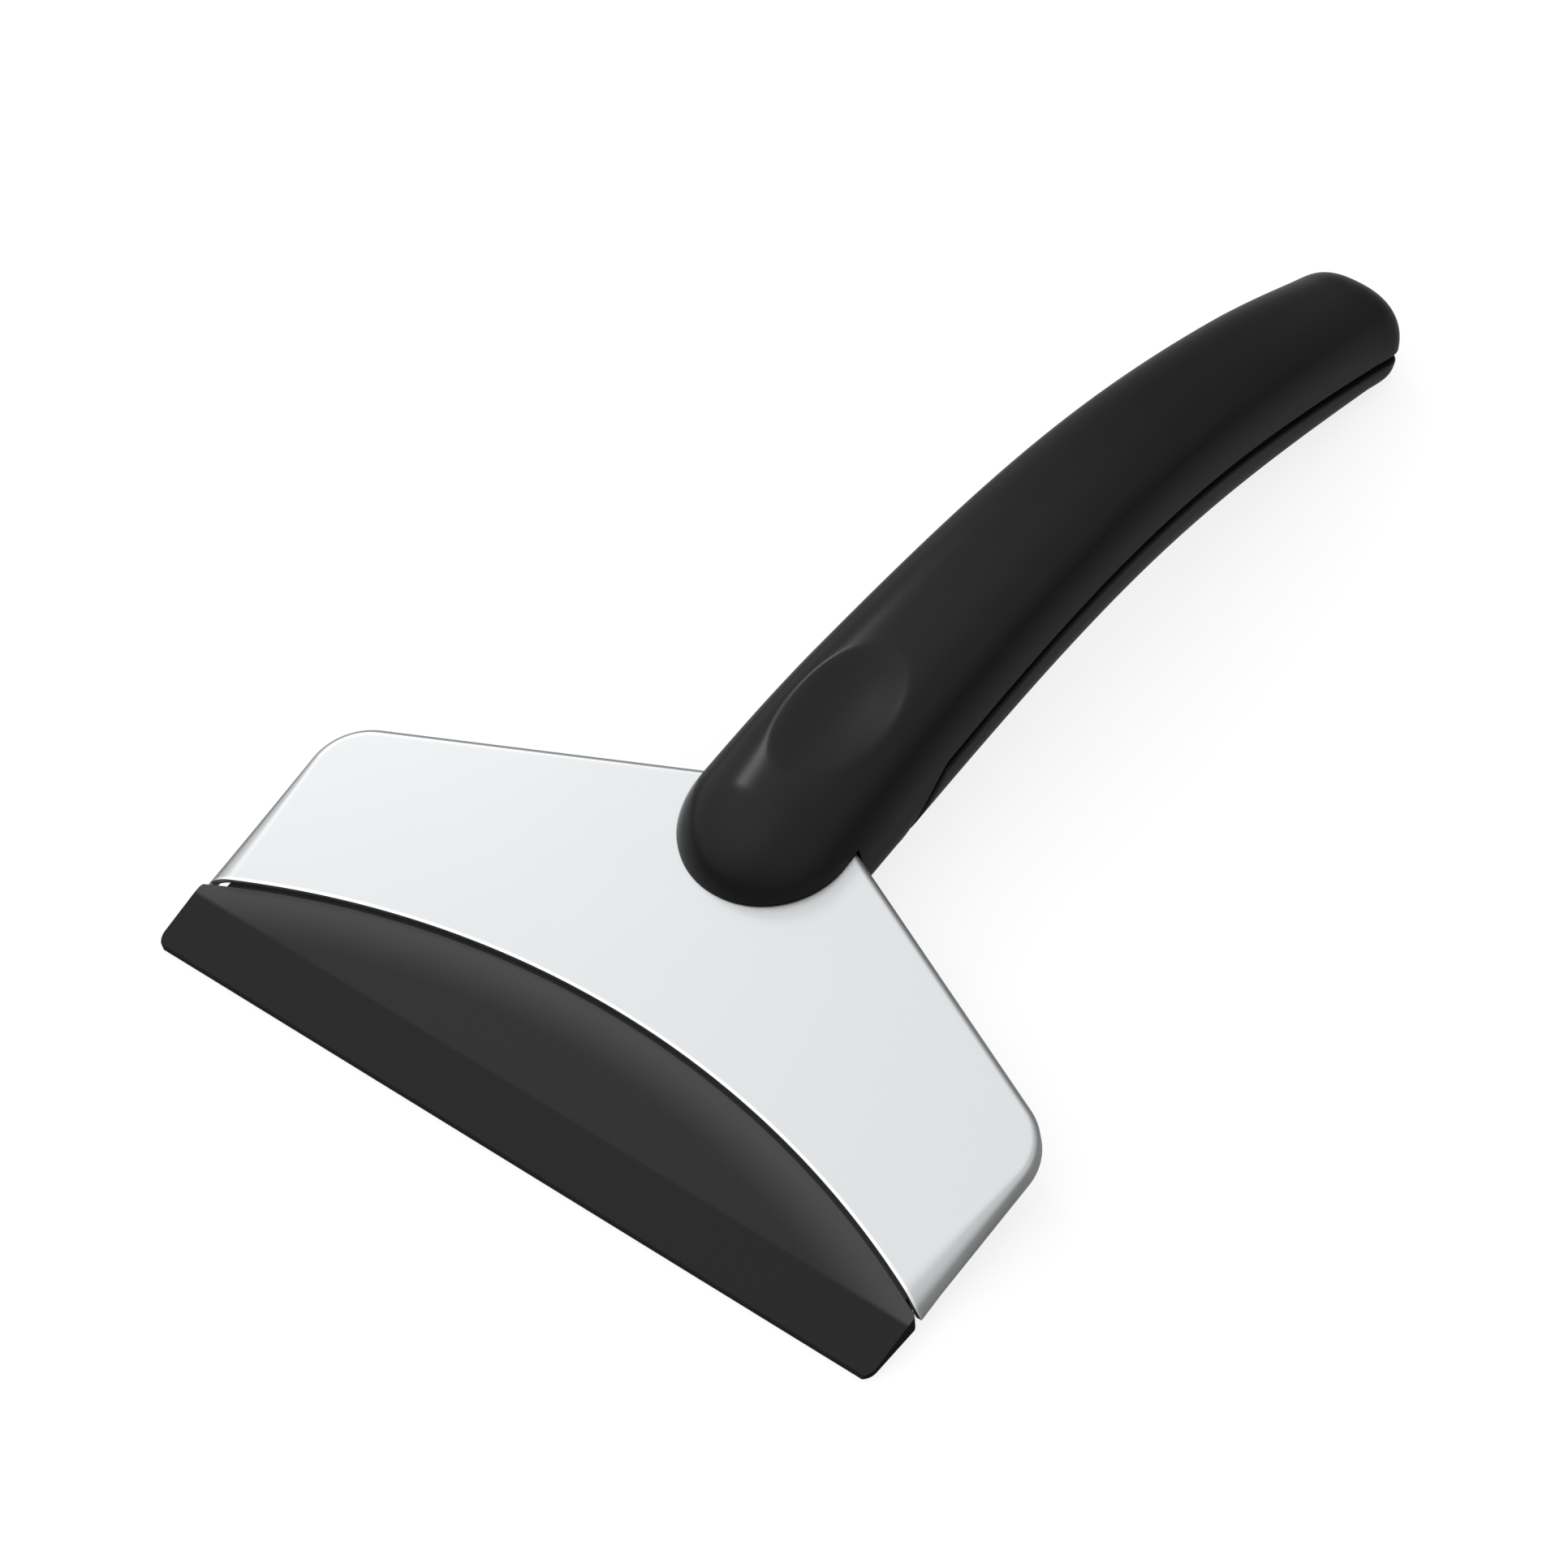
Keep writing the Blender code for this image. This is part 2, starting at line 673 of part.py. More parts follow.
def place_cutter(cutter, matrix):
    cutter.matrix_local = matrix
    return cutter


def hollow_shell(name, spine, upper):
    """A shell on one side of the parting line, and the core that trims the posts inside it."""
    shift = GAP / 2 if upper else -GAP / 2
    outline = parting_outline(spine, shift, upper)
    region_name = f"{name}_region"
    region = add_cutter(region_name, side_slab_mesh(region_name, outline, HALF_WIDTH), ROOT)

    shell = add_part(name, loft_mesh(name, handle_rings(spine, 0)), ROOT, HANDLE_PLASTIC)
    cavity_name = f"{name}_cavity"
    cavity_mesh = loft_mesh(cavity_name, handle_rings(spine, SHELL_WALL))
    combine(shell, add_cutter(cavity_name, cavity_mesh, ROOT), "DIFFERENCE")
    combine(shell, region, "INTERSECT")

    core_name = f"{name}_core"
    core_mesh = loft_mesh(core_name, handle_rings(spine, SHELL_WALL / 2))
    core = add_cutter(core_name, core_mesh, ROOT)
    combine(core, region, "INTERSECT")
    return shell, core


def add_posts(shell, core, name, frame, places, diameter, low, high):
    for index, place in enumerate(places):
        label = f"{name}_{index + 1}"
        post = add_cutter(label, rod_mesh(label, diameter, low, high), frame)
        place_cutter(post, place)
        combine(post, core, "INTERSECT")
        combine(shell, post, "UNION")


def cut_rods(shell, name, frame, places, diameter, low, high):
    for index, place in enumerate(places):
        label = f"{name}_{index + 1}"
        rod = add_cutter(label, rod_mesh(label, diameter, low, high), frame)
        place_cutter(rod, place)
        combine(shell, rod, "DIFFERENCE")


def recess_balls(spine):
    """The thumb recess's scoop and the thicker ball that keeps a floor below it."""
    sink = RECESS_BALL_RISE - RECESS_DEPTH
    spread = 1 / math.sqrt(1 - (sink / RECESS_BALL_RISE) ** 2)
    frame = spine_matrix(spine, RECESS_RUN)
    crown = spine.sizes(RECESS_RUN, 0)[1]
    lift = Matrix.Translation((0, 0, crown + sink))
    balls = []
    for name, grow in (("recess_scoop", 0), ("recess_backing", RECESS_FLOOR)):
        radii = (
            RECESS_WIDTH / 2 * spread + grow,
            RECESS_LENGTH / 2 * spread + grow,
            RECESS_BALL_RISE + grow,
        )
        shape = bmesh.new()
        bmesh.ops.create_uvsphere(shape, u_segments=BALL_SEGMENTS, v_segments=BALL_RINGS, radius=1)
        bmesh.ops.scale(shape, vec=radii, verts=shape.verts)
        ball = add_cutter(name, mesh_from_bmesh(name, shape), ROOT)
        balls.append(place_cutter(ball, frame @ lift))
    return balls


def make_upper_shell(spine):
    shell, core = hollow_shell("handle_upper_shell", spine, True)

    scoop, backing = recess_balls(spine)
    combine(backing, core, "INTERSECT")
    combine(shell, backing, "UNION")
    combine(shell, scoop, "DIFFERENCE")

    neck = [Matrix.Translation((0, reach, 0)) for reach in NECK_SCREW_REACHES]
    add_posts(shell, core, "neck_post", HEAD, neck, SLEEVE_DIAMETER, -ROD_REACH, ROD_REACH)
    posts = handle_screw_places(spine)
    post_low = SEAT_THICKNESS + GAP - SEAT_DEPTH
    add_posts(shell, core, "handle_post", ROOT, posts, POST_DIAMETER, post_low, ROD_REACH)

    slot_mesh = slab_mesh("head_slot", cover_outline(GAP), UNDERSIDE - GAP, GAP)
    slot = add_cutter("head_slot", slot_mesh, HEAD)
    combine(shell, slot, "DIFFERENCE")

    neck_seat = neck_seat_height()
    neck_top = neck_seat + SHELL_SCREW_LENGTH + GAP
    cut_rods(shell, "neck_pilot", HEAD, neck, HOLE_DIAMETER, -ROD_REACH, neck_top)
    cut_rods(shell, "neck_well", HEAD, neck, WELL_DIAMETER, -ROD_REACH, neck_seat)
    pilot_top = SHELL_SCREW_LENGTH + GAP - SEAT_DEPTH
    cut_rods(shell, "handle_pilot", ROOT, posts, HOLE_DIAMETER, -ROD_REACH, pilot_top)


def neck_seat_height():
    """Height of the neck screws' seats in the head's frame."""
    return UNDERSIDE - GAP - SEAT_THICKNESS


def make_lower_shell(spine):
    shell, core = hollow_shell("handle_lower_shell", spine, False)
    places = handle_screw_places(spine)
    sleeve_top = SEAT_THICKNESS - SEAT_DEPTH
    add_posts(shell, core, "sleeve", ROOT, places, SLEEVE_DIAMETER, -ROD_REACH, sleeve_top)
    cut_rods(shell, "sleeve_hole", ROOT, places, HOLE_DIAMETER, -ROD_REACH, ROD_REACH)
    cut_rods(shell, "sleeve_well", ROOT, places, WELL_DIAMETER, -ROD_REACH, -SEAT_DEPTH)


def screw_profile(length):
    """Right side of a screw from the tip at the top to the middle of the head below."""
    shank = SCREW_SHANK_DIAMETER / 2
    head = SCREW_HEAD_DIAMETER / 2
    rounding = SCREW_HEAD_HEIGHT / 2
    return (
        (0, length),
        (shank, length - SCREW_TIP_LENGTH),
        (shank, GAP),
        (head, GAP),
        (head, -rounding),
        (head - rounding / 2, -SCREW_HEAD_HEIGHT),
        (0, -SCREW_HEAD_HEIGHT),
    )


def turned_mesh(name, profile):
    """A profile in X and Z turned round the Z axis."""
    mesh = bpy.data.meshes.new(name)
    points = [(x, 0, z) for x, z in profile]
    edges = [(index, index + 1) for index in range(len(points) - 1)]
    mesh.from_pydata(points, edges, [])
    return mesh


def add_screw(name, length, frame, matrix):
    """Pan head screw whose seat is at its origin, with its tip along +Z."""
    screw = add_part(name, turned_mesh(name, screw_profile(length)), frame, SCREW_STEEL)
    screw.matrix_local = matrix
    turn = screw.modifiers.new("turn", "SCREW")
    turn.steps = SCREW_STEPS
    turn.render_steps = SCREW_STEPS
    turn.use_merge_vertices = True
    turn.merge_threshold = WELD
    for index, angle in enumerate((0, math.pi / 2)):
        size = (SCREW_CROSS_WIDTH, SCREW_CROSS_LENGTH, 2 * SCREW_CROSS_DEPTH)
        bar = add_cutter(f"{name}_cross_{index}", box_mesh(f"{name}_cross", size, (0, 0, 0)), frame)
        turned = Matrix.Rotation(angle, 4, "Z")
        place_cutter(bar, matrix @ Matrix.Translation((0, 0, -SCREW_HEAD_HEIGHT)) @ turned)
        combine(screw, bar, "DIFFERENCE")
    return screw


def make_screws(spine):
    for index, (across, reach) in enumerate(blade_screw_places()):
        place = Matrix.Translation((across, reach, UNDERSIDE - GAP))
        add_screw(f"blade_screw_{index + 1}", BLADE_SCREW_LENGTH, HEAD, place)
    for label, reach in zip(("front", "rear"), NECK_SCREW_REACHES):
        place = Matrix.Translation((0, reach, neck_seat_height() - GAP))
        add_screw(f"neck_screw_{label}", SHELL_SCREW_LENGTH, HEAD, place)
    drop = Matrix.Translation((0, 0, -SEAT_DEPTH - GAP))
    for label, place in zip(("front", "middle", "rear"), handle_screw_places(spine)):
        add_screw(f"handle_screw_{label}", SHELL_SCREW_LENGTH, ROOT, place @ drop)


clear_scene()
PARTS = make_collection("ice_scraper")
CUTTERS = make_collection("ice_scraper_cutters")
ROOT = make_empty("cutting_edge", None, (0, EDGE_Y, 0), 0)
HEAD = make_empty("head_plane", ROOT, (0, 0, PLATE_RISE), HEAD_TILT)

STEEL = make_material("satin_stainless_steel", (0.78, 0.79, 0.80), 0.32, 1.0)
BLADE_PLASTIC = make_material("matte_black_blade_plastic", (0.030, 0.030, 0.031), 0.55, 0.0)
HEAD_PLASTIC = make_material("black_backing_plastic", (0.022, 0.022, 0.023), 0.60, 0.0)
HANDLE_PLASTIC = make_material("satin_black_handle_plastic", (0.016, 0.016, 0.017), 0.38, 0.0)
SCREW_STEEL = make_material("zinc_plated_screw_steel", (0.55, 0.56, 0.58), 0.35, 1.0)

NECK_HOLES = neck_screw_holes()
BLADE_HOLES = blade_screw_holes()
make_steel_cover(NECK_HOLES)
make_blade(BLADE_HOLES)
make_backing_plate(NECK_HOLES + BLADE_HOLES)
SPINE = settle_spine()
make_upper_shell(SPINE)
make_lower_shell(SPINE)
make_screws(SPINE)
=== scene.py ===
"""Looks of a hand ice scraper: satin steel cover, moulded black blade, two-shell plastic handle.

Everything is in metres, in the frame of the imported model: X across the head, Y towards the end
of the handle, Z up, the origin on the floor. The head is drawn flat, as (across, along, height)
with the steel's top face at height 0, and then tilted into place.
"""

import math

import bmesh
import bpy
import numpy as np
from mathutils import Matrix, Vector


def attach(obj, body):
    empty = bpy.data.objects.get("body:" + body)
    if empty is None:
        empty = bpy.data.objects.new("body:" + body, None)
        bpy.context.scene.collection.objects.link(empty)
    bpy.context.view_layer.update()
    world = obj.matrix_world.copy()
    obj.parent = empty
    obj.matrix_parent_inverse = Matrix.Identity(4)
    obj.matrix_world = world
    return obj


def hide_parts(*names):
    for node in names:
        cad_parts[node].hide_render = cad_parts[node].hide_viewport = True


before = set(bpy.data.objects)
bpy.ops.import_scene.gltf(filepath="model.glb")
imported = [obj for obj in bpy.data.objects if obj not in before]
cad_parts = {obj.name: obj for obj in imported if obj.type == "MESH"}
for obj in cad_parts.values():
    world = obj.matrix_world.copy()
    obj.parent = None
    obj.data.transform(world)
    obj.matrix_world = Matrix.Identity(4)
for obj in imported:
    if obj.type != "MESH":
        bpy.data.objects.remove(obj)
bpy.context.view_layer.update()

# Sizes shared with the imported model
EDGE_Y = -0.09825
PLATE_RISE = 0.0032
HEAD_TILT = math.radians(11.9)
GAP = 0.0003
HALF_WIDTH = 0.0600
TIP_REACH = 0.0100
ARC_REACH = 0.0240
CORNER_REACH = 0.0394
APEX_REACH = 0.0664
CORNER_RADIUS = 0.0090
STEEL_THICKNESS = 0.0008
FLANGE_DROP = 0.0031
TAB_HALF_WIDTH = 0.0070
TAB_REACH = 0.0710
BLADE_THICKNESS = 0.0045
CREASE_REACH = 0.0081
EDGE_FACE_HEIGHT = 0.0011
SEAT_THICKNESS = 0.0016
HOLE_DIAMETER = 0.0030
POST_DIAMETER = 0.0066
POST_CAP = 0.0004
WELL_DIAMETER = 0.0058
SLEEVE_DIAMETER = 0.0088
SEAT_DEPTH = 0.0044
SHELL_WALL = 0.0020
BLADE_SCREW_PLACES = (-0.0438, -0.0168, 0.0168, 0.0438)
BLADE_SCREW_BACK = 0.0090
BLADE_SCREW_LENGTH = 0.0039
SHELL_SCREW_LENGTH = 0.0102
NECK_SCREW_REACHES = (0.0519, 0.0624)
NECK_SEAT = -0.0075
HANDLE_SCREW_FRONT = 0.0482
HANDLE_SCREW_REAR_INSET = 0.0265

# Cutting: half the length of a tool that goes right through, the gap in which doubles are
# merged, and the sides of a round tool
THROUGH_REACH = 0.0250
MERGE_GAP = 0.000002
ROUND_SIDES = 48

# Degrees from which an edge is drawn sharp, on metal and on mouldings, or is rounded
SHARP_ANGLE = 35
MOULDED_SHARP_ANGLE = 30
ROUNDED_FROM_ANGLE = 50

DECK_TOP = -(STEEL_THICKNESS + GAP)
UNDERSIDE = DECK_TOP - BLADE_THICKNESS
ARC_RISE = ARC_REACH - TIP_REACH
ARC_RADIUS = (HALF_WIDTH ** 2 + ARC_RISE ** 2) / (2 * ARC_RISE)
ARC_CENTRE = ARC_REACH - ARC_RADIUS
SHOULDER_SLOPE = (APEX_REACH - CORNER_REACH) / HALF_WIDTH
HEAD_PLACE = Matrix.Translation((0, EDGE_Y, PLATE_RISE)) @ Matrix.Rotation(HEAD_TILT, 4, "X")

# Steel cover: the rolled edge is wide at the front and tight round the rear corners
ROLL_AT_TIP = 0.0034
ROLL_AT_CORNER = 0.0011
ROLL_POWER = 1.2
TIP_POWER = 6
ROLL_STEPS = 9
FLANGE_SHARES = (0.4, 0.8, 1.0)
SIDE_STATIONS = 33
CORNER_STEPS = 24
SHOULDER_STEPS = 20
EDGE_STEPS = 96
TIP_ROUNDING = 0.0003
FLAT_STRIP = 0.0004
CUT_EDGE_ROUNDING = 0.00026

# Scraper blade: its ends lean in towards the sole
BLADE_TOP_HALF_WIDTH = 0.0600
BLADE_SOLE_HALF_WIDTH = 0.0588
BLADE_CORNER_RADIUS = 0.0024
BLADE_SHOULDER_RADIUS = 0.0008
BLADE_EDGE_ROUNDING = 0.00025
BLADE_ROUND_STEPS = 8
BLADE_LEDGE_STEPS = 4
BLADE_CREASE_ANGLE = 8
ARC_STEPS = 48
TONGUE_HALF_WIDTH = 0.0572
TONGUE_LENGTH = 0.0050
LAP_DEPTH = 0.0080
LAP_THICKNESS = 0.0020
SHADOW_GROOVE_WIDTH = 0.0005
SHADOW_GROOVE_DEPTH = 0.0007
FRONT_STOCK = -0.0012
SOLE_STOCK = 0.0030

# Handle along its parting line
SPINE_START = (0.04417, 0.00893)
SPINE_END = (0.19533, 0.00411)
SPINE_START_SLOPE = math.radians(11.9 - 1.9)
SPINE_END_SLOPE = math.radians(-17.2)
SPINE_START_PULL = 0.0767
SPINE_END_PULL = 0.0627
HALF_WIDTHS = (0.0129, 0.0106, 0.0093)
CROWN_HEIGHTS = (0.0119, 0.0106, 0.0090)
BELLY_DEPTHS = (0.0067, 0.0090, 0.0056)
DOME_LENGTH = 0.0128
END_CAP_LENGTH = 0.0083
END_CORNER_LENGTH = 0.0054
DOME_POWER = 2.0
END_CAP_POWER = 3.4
DOME_ROUNDNESS = 2.1
DOME_BLEND_RUN = 0.0380
CROWN_ROUNDNESS = 3.4
END_ROUNDNESS = 2.4
END_BLEND_RUN = 0.0300
BELLY_ROUNDNESS = 3.6
PARTING_TURN_RUN = 0.0364
PARTING_TURN_SLOPE = math.radians(36)
SEAM_HALF_GAP = 0.00062
SEAM_ROUNDING = 0.00035
SEAM_DEPTH = 0.0011
SEAM_CONTACT_GAP = 0.00005
LIP_STEPS = 3

# How much painted shade, with a duller finish, each point of a lip has in the groove between the
# shells
LIP_SHADE_MARKS = [0.0, 0.5, 1.0, 1.0, 1.0]

# Sections of the handle: how many there are, how far apart, and the points in each
DOME_STATIONS = 40
FINE_SPACING = 0.00035
FINE_END_RUN = 0.0430
BODY_START_RUN = 0.0435
BODY_STATIONS = 90
END_CAP_STATIONS = 26
FOOT_CLEARANCE = 0.00015
FOOT_HALVINGS = 40
SPINE_POINTS = 801
TURN_POINTS = 721
DIRECTION_REACH = 0.0002
SKIN_POINTS = 101
INNER_POINTS = 25
WALL_STEPS = 100

# Thumb recess: an oval, with its far end the steeper one
RECESS_RUN = 0.0294
RECESS_HALF_LENGTH = 0.0118
RECESS_HALF_WIDTH = 0.0075
RECESS_DEPTH = 0.0013
RECESS_RIM_SOFTNESS = 0.00012
RECESS_LEAN = 0.35

# Screws: the shorter ones hold the blade, the longer ones the handle
SCREW_SIZES = {
    "Length": SHELL_SCREW_LENGTH,
    "Head Diameter": 0.0050,
    "Head Height": 0.0019,
    "Crown Radius": 0.0029,
    "Core Diameter": 0.0018,
    "Thread Depth": 0.0003,
    "Thread Pitch": 0.0009,
    "Tip Length": 0.0014,
    "Cross Width": 0.0007,
    "Cross Length": 0.0028,
    "Cross Depth": 0.0009,
}
SCREW_SUMS = (
    ("Head Radius", "MULTIPLY", "Head Diameter", 0.5),
    ("Core Radius", "MULTIPLY", "Core Diameter", 0.5),
    ("Disc Height", "MULTIPLY", "Head Height", -0.5),
    ("Head Bottom", "MULTIPLY", "Head Height", -1.0),
    ("Crown Centre", "ADD", "Head Bottom", "Crown Radius"),
    ("Cross Cut", "MULTIPLY", "Cross Depth", 2.0),
    ("Straight Length", "SUBTRACT", "Length", "Tip Length"),
    ("Core Middle", "MULTIPLY", "Straight Length", 0.5),
    ("Thread Length", "SUBTRACT", "Straight Length", "Thread Pitch"),
    ("Thread Turns", "DIVIDE", "Thread Length", "Thread Pitch"),
)
HEAD_SIDES = 48
CORE_SIDES = 24
CROWN_RINGS = 40
THREAD_SIDES = 3
THREAD_TURN_STEPS = 20
TIP_RADIUS = 0.0001

# Finishes: the patterns as wide as they are drawn, and where the blade's tone changes
BRUSH_LINE_WIDTH = 0.00015
BRUSH_LINE_LENGTH = 0.0100
NYLON_GRAIN = 0.0004
ABS_GRAIN = 0.00025
ABS_HANDLING = 0.0125
ZINC_GRAIN = 0.0002
# Width of the band of painted sheen on the blade's face under the arc
PAINTED_SHEEN_BAND = 0.0085
CREASE_BLUR_BELOW = 0.0004
CREASE_BLUR_ABOVE = 0.0002

# Backing plate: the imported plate's edges, rounded
BACKING_EDGE_ROUNDING = 0.00025
PACKED_MERGE_GAP = 0.00001
FLAT_ANGLE = math.radians(1)

# Studio: the floor is a hair below the sole, so that the two faces never flicker.
# Each glow of the sky has its direction, the cosine at which it starts, and its gain.
CAMERA_PLACE = (0.34995, -0.48846, 0.63326)
CAMERA_TURN = (math.radians(42.9385), 0, math.radians(37.884))
CAMERA_LENS = 144.9
SENSOR_WIDTH = 36
CLIP_END = 20
FLOOR_HEIGHT = -0.00005
FLOOR_REACH = 3
PAPER_TONE = 0.26
PAPER_GLOW = 0.80
PAPER_GLOW_IN_MIRRORS = 0.08
KEY_LAMP_PLACE = (-0.91, 0.40, 1.04)
KEY_LAMP_SIZE = 0.20
KEY_LAMP_POWER = 1.25
DIM_LEVEL = 0.24
SKY_GLOWS = (
    ((0.26, -0.25, 0.93), -0.06, 0.65),
    ((-0.83, -0.28, 0.48), 0.16, 0.66),
)


def clamped(value, low, high):
    return min(max(value, low), high)


def quarter_turn(steps):
    """Sine and cosine at even steps from 0 to 90 degrees, both ends included."""
    angles = [math.pi / 2 * step / steps for step in range(steps + 1)]
    return [(math.sin(angle), math.cos(angle)) for angle in angles]


def mirrored(points):
    """The same outline on the left, in the opposite order."""
    return [(-x, y) for x, y in reversed(points)]


def arch_reach(across, back=0):
    """Reach of the steel's front arc, or of a wider arc that lies back from it."""
    return ARC_CENTRE + math.sqrt((ARC_RADIUS + back) ** 2 - across ** 2)


def arch_points(half_width, back=0, steps=ARC_STEPS):
    """Points of the arc from the right to the left."""
    places = [half_width * (1 - 2 * step / steps) for step in range(steps + 1)]
    return [(x, arch_reach(x, back)) for x in places]


def add_object(name, data):
    thing = bpy.data.objects.new(name, data)
    bpy.context.scene.collection.objects.link(thing)
    return thing


def plain_mesh(name, shape):
    mesh = bpy.data.meshes.new(name)
    shape.to_mesh(mesh)
    shape.free()
    return mesh


def mesh_of(name, shape):
    """The mesh of a shape with its doubles merged and its faces pointing outwards."""
    bmesh.ops.remove_doubles(shape, verts=shape.verts, dist=MERGE_GAP)
    bmesh.ops.recalc_face_normals(shape, faces=shape.faces)
    return plain_mesh(name, shape)


def piece_of(name, mesh, sharp_angle=SHARP_ANGLE):
    smooth(mesh, sharp_angle)
    return add_object(name, mesh)


def smooth(mesh, sharp_angle):
    mesh.shade_smooth()
    mesh.set_sharp_from_angle(angle=math.radians(sharp_angle))


def bake(piece):
    """Turn the piece's modifiers into plain mesh."""
    bpy.context.view_layer.update()
    graph = bpy.context.evaluated_depsgraph_get()
    mesh = bpy.data.meshes.new_from_object(piece.evaluated_get(graph))
    piece.modifiers.clear()
    piece.data = mesh


def combine(piece, meshes, operation, sharp_angle=MOULDED_SHARP_ANGLE):
    """Join meshes to the piece or take them away, all together."""
    shape = bmesh.new()
    for mesh in meshes:
        shape.from_mesh(mesh)
    tool = add_object("tool", plain_mesh("tool", shape))
    step = piece.modifiers.new("step", "BOOLEAN")
    step.operation = operation
    step.object = tool
    step.solver = "EXACT"
    bake(piece)
    smooth(piece.data, sharp_angle)
    bpy.data.objects.remove(tool, do_unlink=True)


def turned(profile, place):
    """A profile of radii and heights turned round its axis, from pole to pole."""
    angles = [math.tau * step / ROUND_SIDES for step in range(ROUND_SIDES + 1)]
    shape = bmesh.new()
    add_rows(shape, [
        [(radius * math.cos(a), radius * math.sin(a), height) for a in angles]
        for radius, height in profile
    ])
    mesh = mesh_of("turned", shape)
    mesh.transform(place)
    return mesh


def rod(diameter, low, high, place):
    radius = diameter / 2
    return turned(((0, low), (radius, low), (radius, high), (0, high)), place)


def stepped_hole(seat, top, place):
    """A screw's well from below, up to its seat, and the narrower hole above it."""
    well = WELL_DIAMETER / 2
    hole = HOLE_DIAMETER / 2
    low = -THROUGH_REACH
    below = ((0, low), (well, low), (well, seat))
    above = ((hole, seat), (hole, top), (0, top))
    return turned(below + above, place)


def prism(low_outline, high_outline, low, high):
    """Solid between two outlines with the same number of points, at two heights."""
    shape = bmesh.new()
    below = [shape.verts.new((x, y, low)) for x, y in low_outline]
    above = [shape.verts.new((x, y, high)) for x, y in high_outline]
    shape.faces.new(list(reversed(below)))
    shape.faces.new(above)
    for i in range(len(above)):
        j = (i + 1) % len(above)
        shape.faces.new((above[i], below[i], below[j], above[j]))
    return shape


def add_rows(shape, rows, keep=None):
    """Quads between rows of points. keep(row, column) says which of them are made."""
    grid = [[shape.verts.new(point) for point in row] for row in rows]
    for i in range(len(grid) - 1):
        for j in range(len(grid[i]) - 1):
            if keep is None or keep(i, j):
                near, far = grid[i], grid[i + 1]
                shape.faces.new((near[j], near[j + 1], far[j + 1], far[j]))
    return grid


def round_edges(piece, width, segments=2, angle=ROUNDED_FROM_ANGLE):
    """Round the sharp edges, and keep the broad faces flat in the light."""
    bevel = piece.modifiers.new("rounded_edges", "BEVEL")
    bevel.width = width
    bevel.segments = segments
    bevel.limit_method = "ANGLE"
    bevel.angle_limit = math.radians(angle)
    flats = piece.modifiers.new("flat_faces", "WEIGHTED_NORMAL")
    flats.mode = "FACE_AREA"
    flats.weight = 100
    flats.keep_sharp = True
    bake(piece)


# ---- steel cover


def rim_stations():
    """Right side of the cover from its tip to its tab: (x, y, inward normal, roll radius)."""
    shoulder = Vector((-1, SHOULDER_SLOPE)).normalized()
    corner = Vector((HALF_WIDTH, CORNER_REACH))
    turn = math.acos(shoulder.dot(Vector((0, 1))))
    inset = CORNER_RADIUS * math.tan(turn / 2)
    side_end = CORNER_REACH - inset
    stations = []
    for step in range(SIDE_STATIONS):
        share = step / SIDE_STATIONS
        reach = TIP_REACH + (side_end - TIP_REACH) * share
        roll = ROLL_AT_TIP + (ROLL_AT_CORNER - ROLL_AT_TIP) * share ** ROLL_POWER
        stations.append((HALF_WIDTH, reach, Vector((-1, 0)), roll))
    centre = Vector((HALF_WIDTH - CORNER_RADIUS, side_end))
    for step in range(CORNER_STEPS + 1):
        angle = turn * step / CORNER_STEPS
        out = Vector((math.cos(angle), math.sin(angle)))
        spot = centre + out * CORNER_RADIUS
        stations.append((spot.x, spot.y, -out, ROLL_AT_CORNER))
    start = corner + shoulder * inset
    end = Vector((TAB_HALF_WIDTH, APEX_REACH - SHOULDER_SLOPE * TAB_HALF_WIDTH))
    for step in range(1, SHOULDER_STEPS + 1):
        spot = start.lerp(end, step / SHOULDER_STEPS)
        stations.append((spot.x, spot.y, Vector((-shoulder.y, shoulder.x)), ROLL_AT_CORNER))
    return stations


def rim_section(roll):
    """Offsets inward from the rim and heights, from the flat top to the foot of the flange."""
    section = [(roll + FLAT_STRIP, 0)]
    for sine, cosine in quarter_turn(ROLL_STEPS):
        section.append((roll - roll * sine, roll * cosine - roll))
    drop = max(FLANGE_DROP, roll)
    for share in FLANGE_SHARES:
        section.append((0, -(roll + (drop - roll) * share)))
    return section


def rim_row(station):
    """Points of the rim at a station. Near the tip they move on to the cover's front arc."""
    x, y, inward, roll = station
    row = []
    for inset, height in rim_section(roll):
        spot = Vector((x, y)) + inward * inset
        if y < CORNER_REACH and inward.y == 0:
            start = arch_reach(spot.x) + TIP_ROUNDING * (height / FLANGE_DROP) ** 2
            share = (CORNER_REACH - y) / (CORNER_REACH - TIP_REACH)
            spot.y += (start - TIP_REACH) * share ** TIP_POWER
        row.append((spot.x, spot.y, height))
    return row


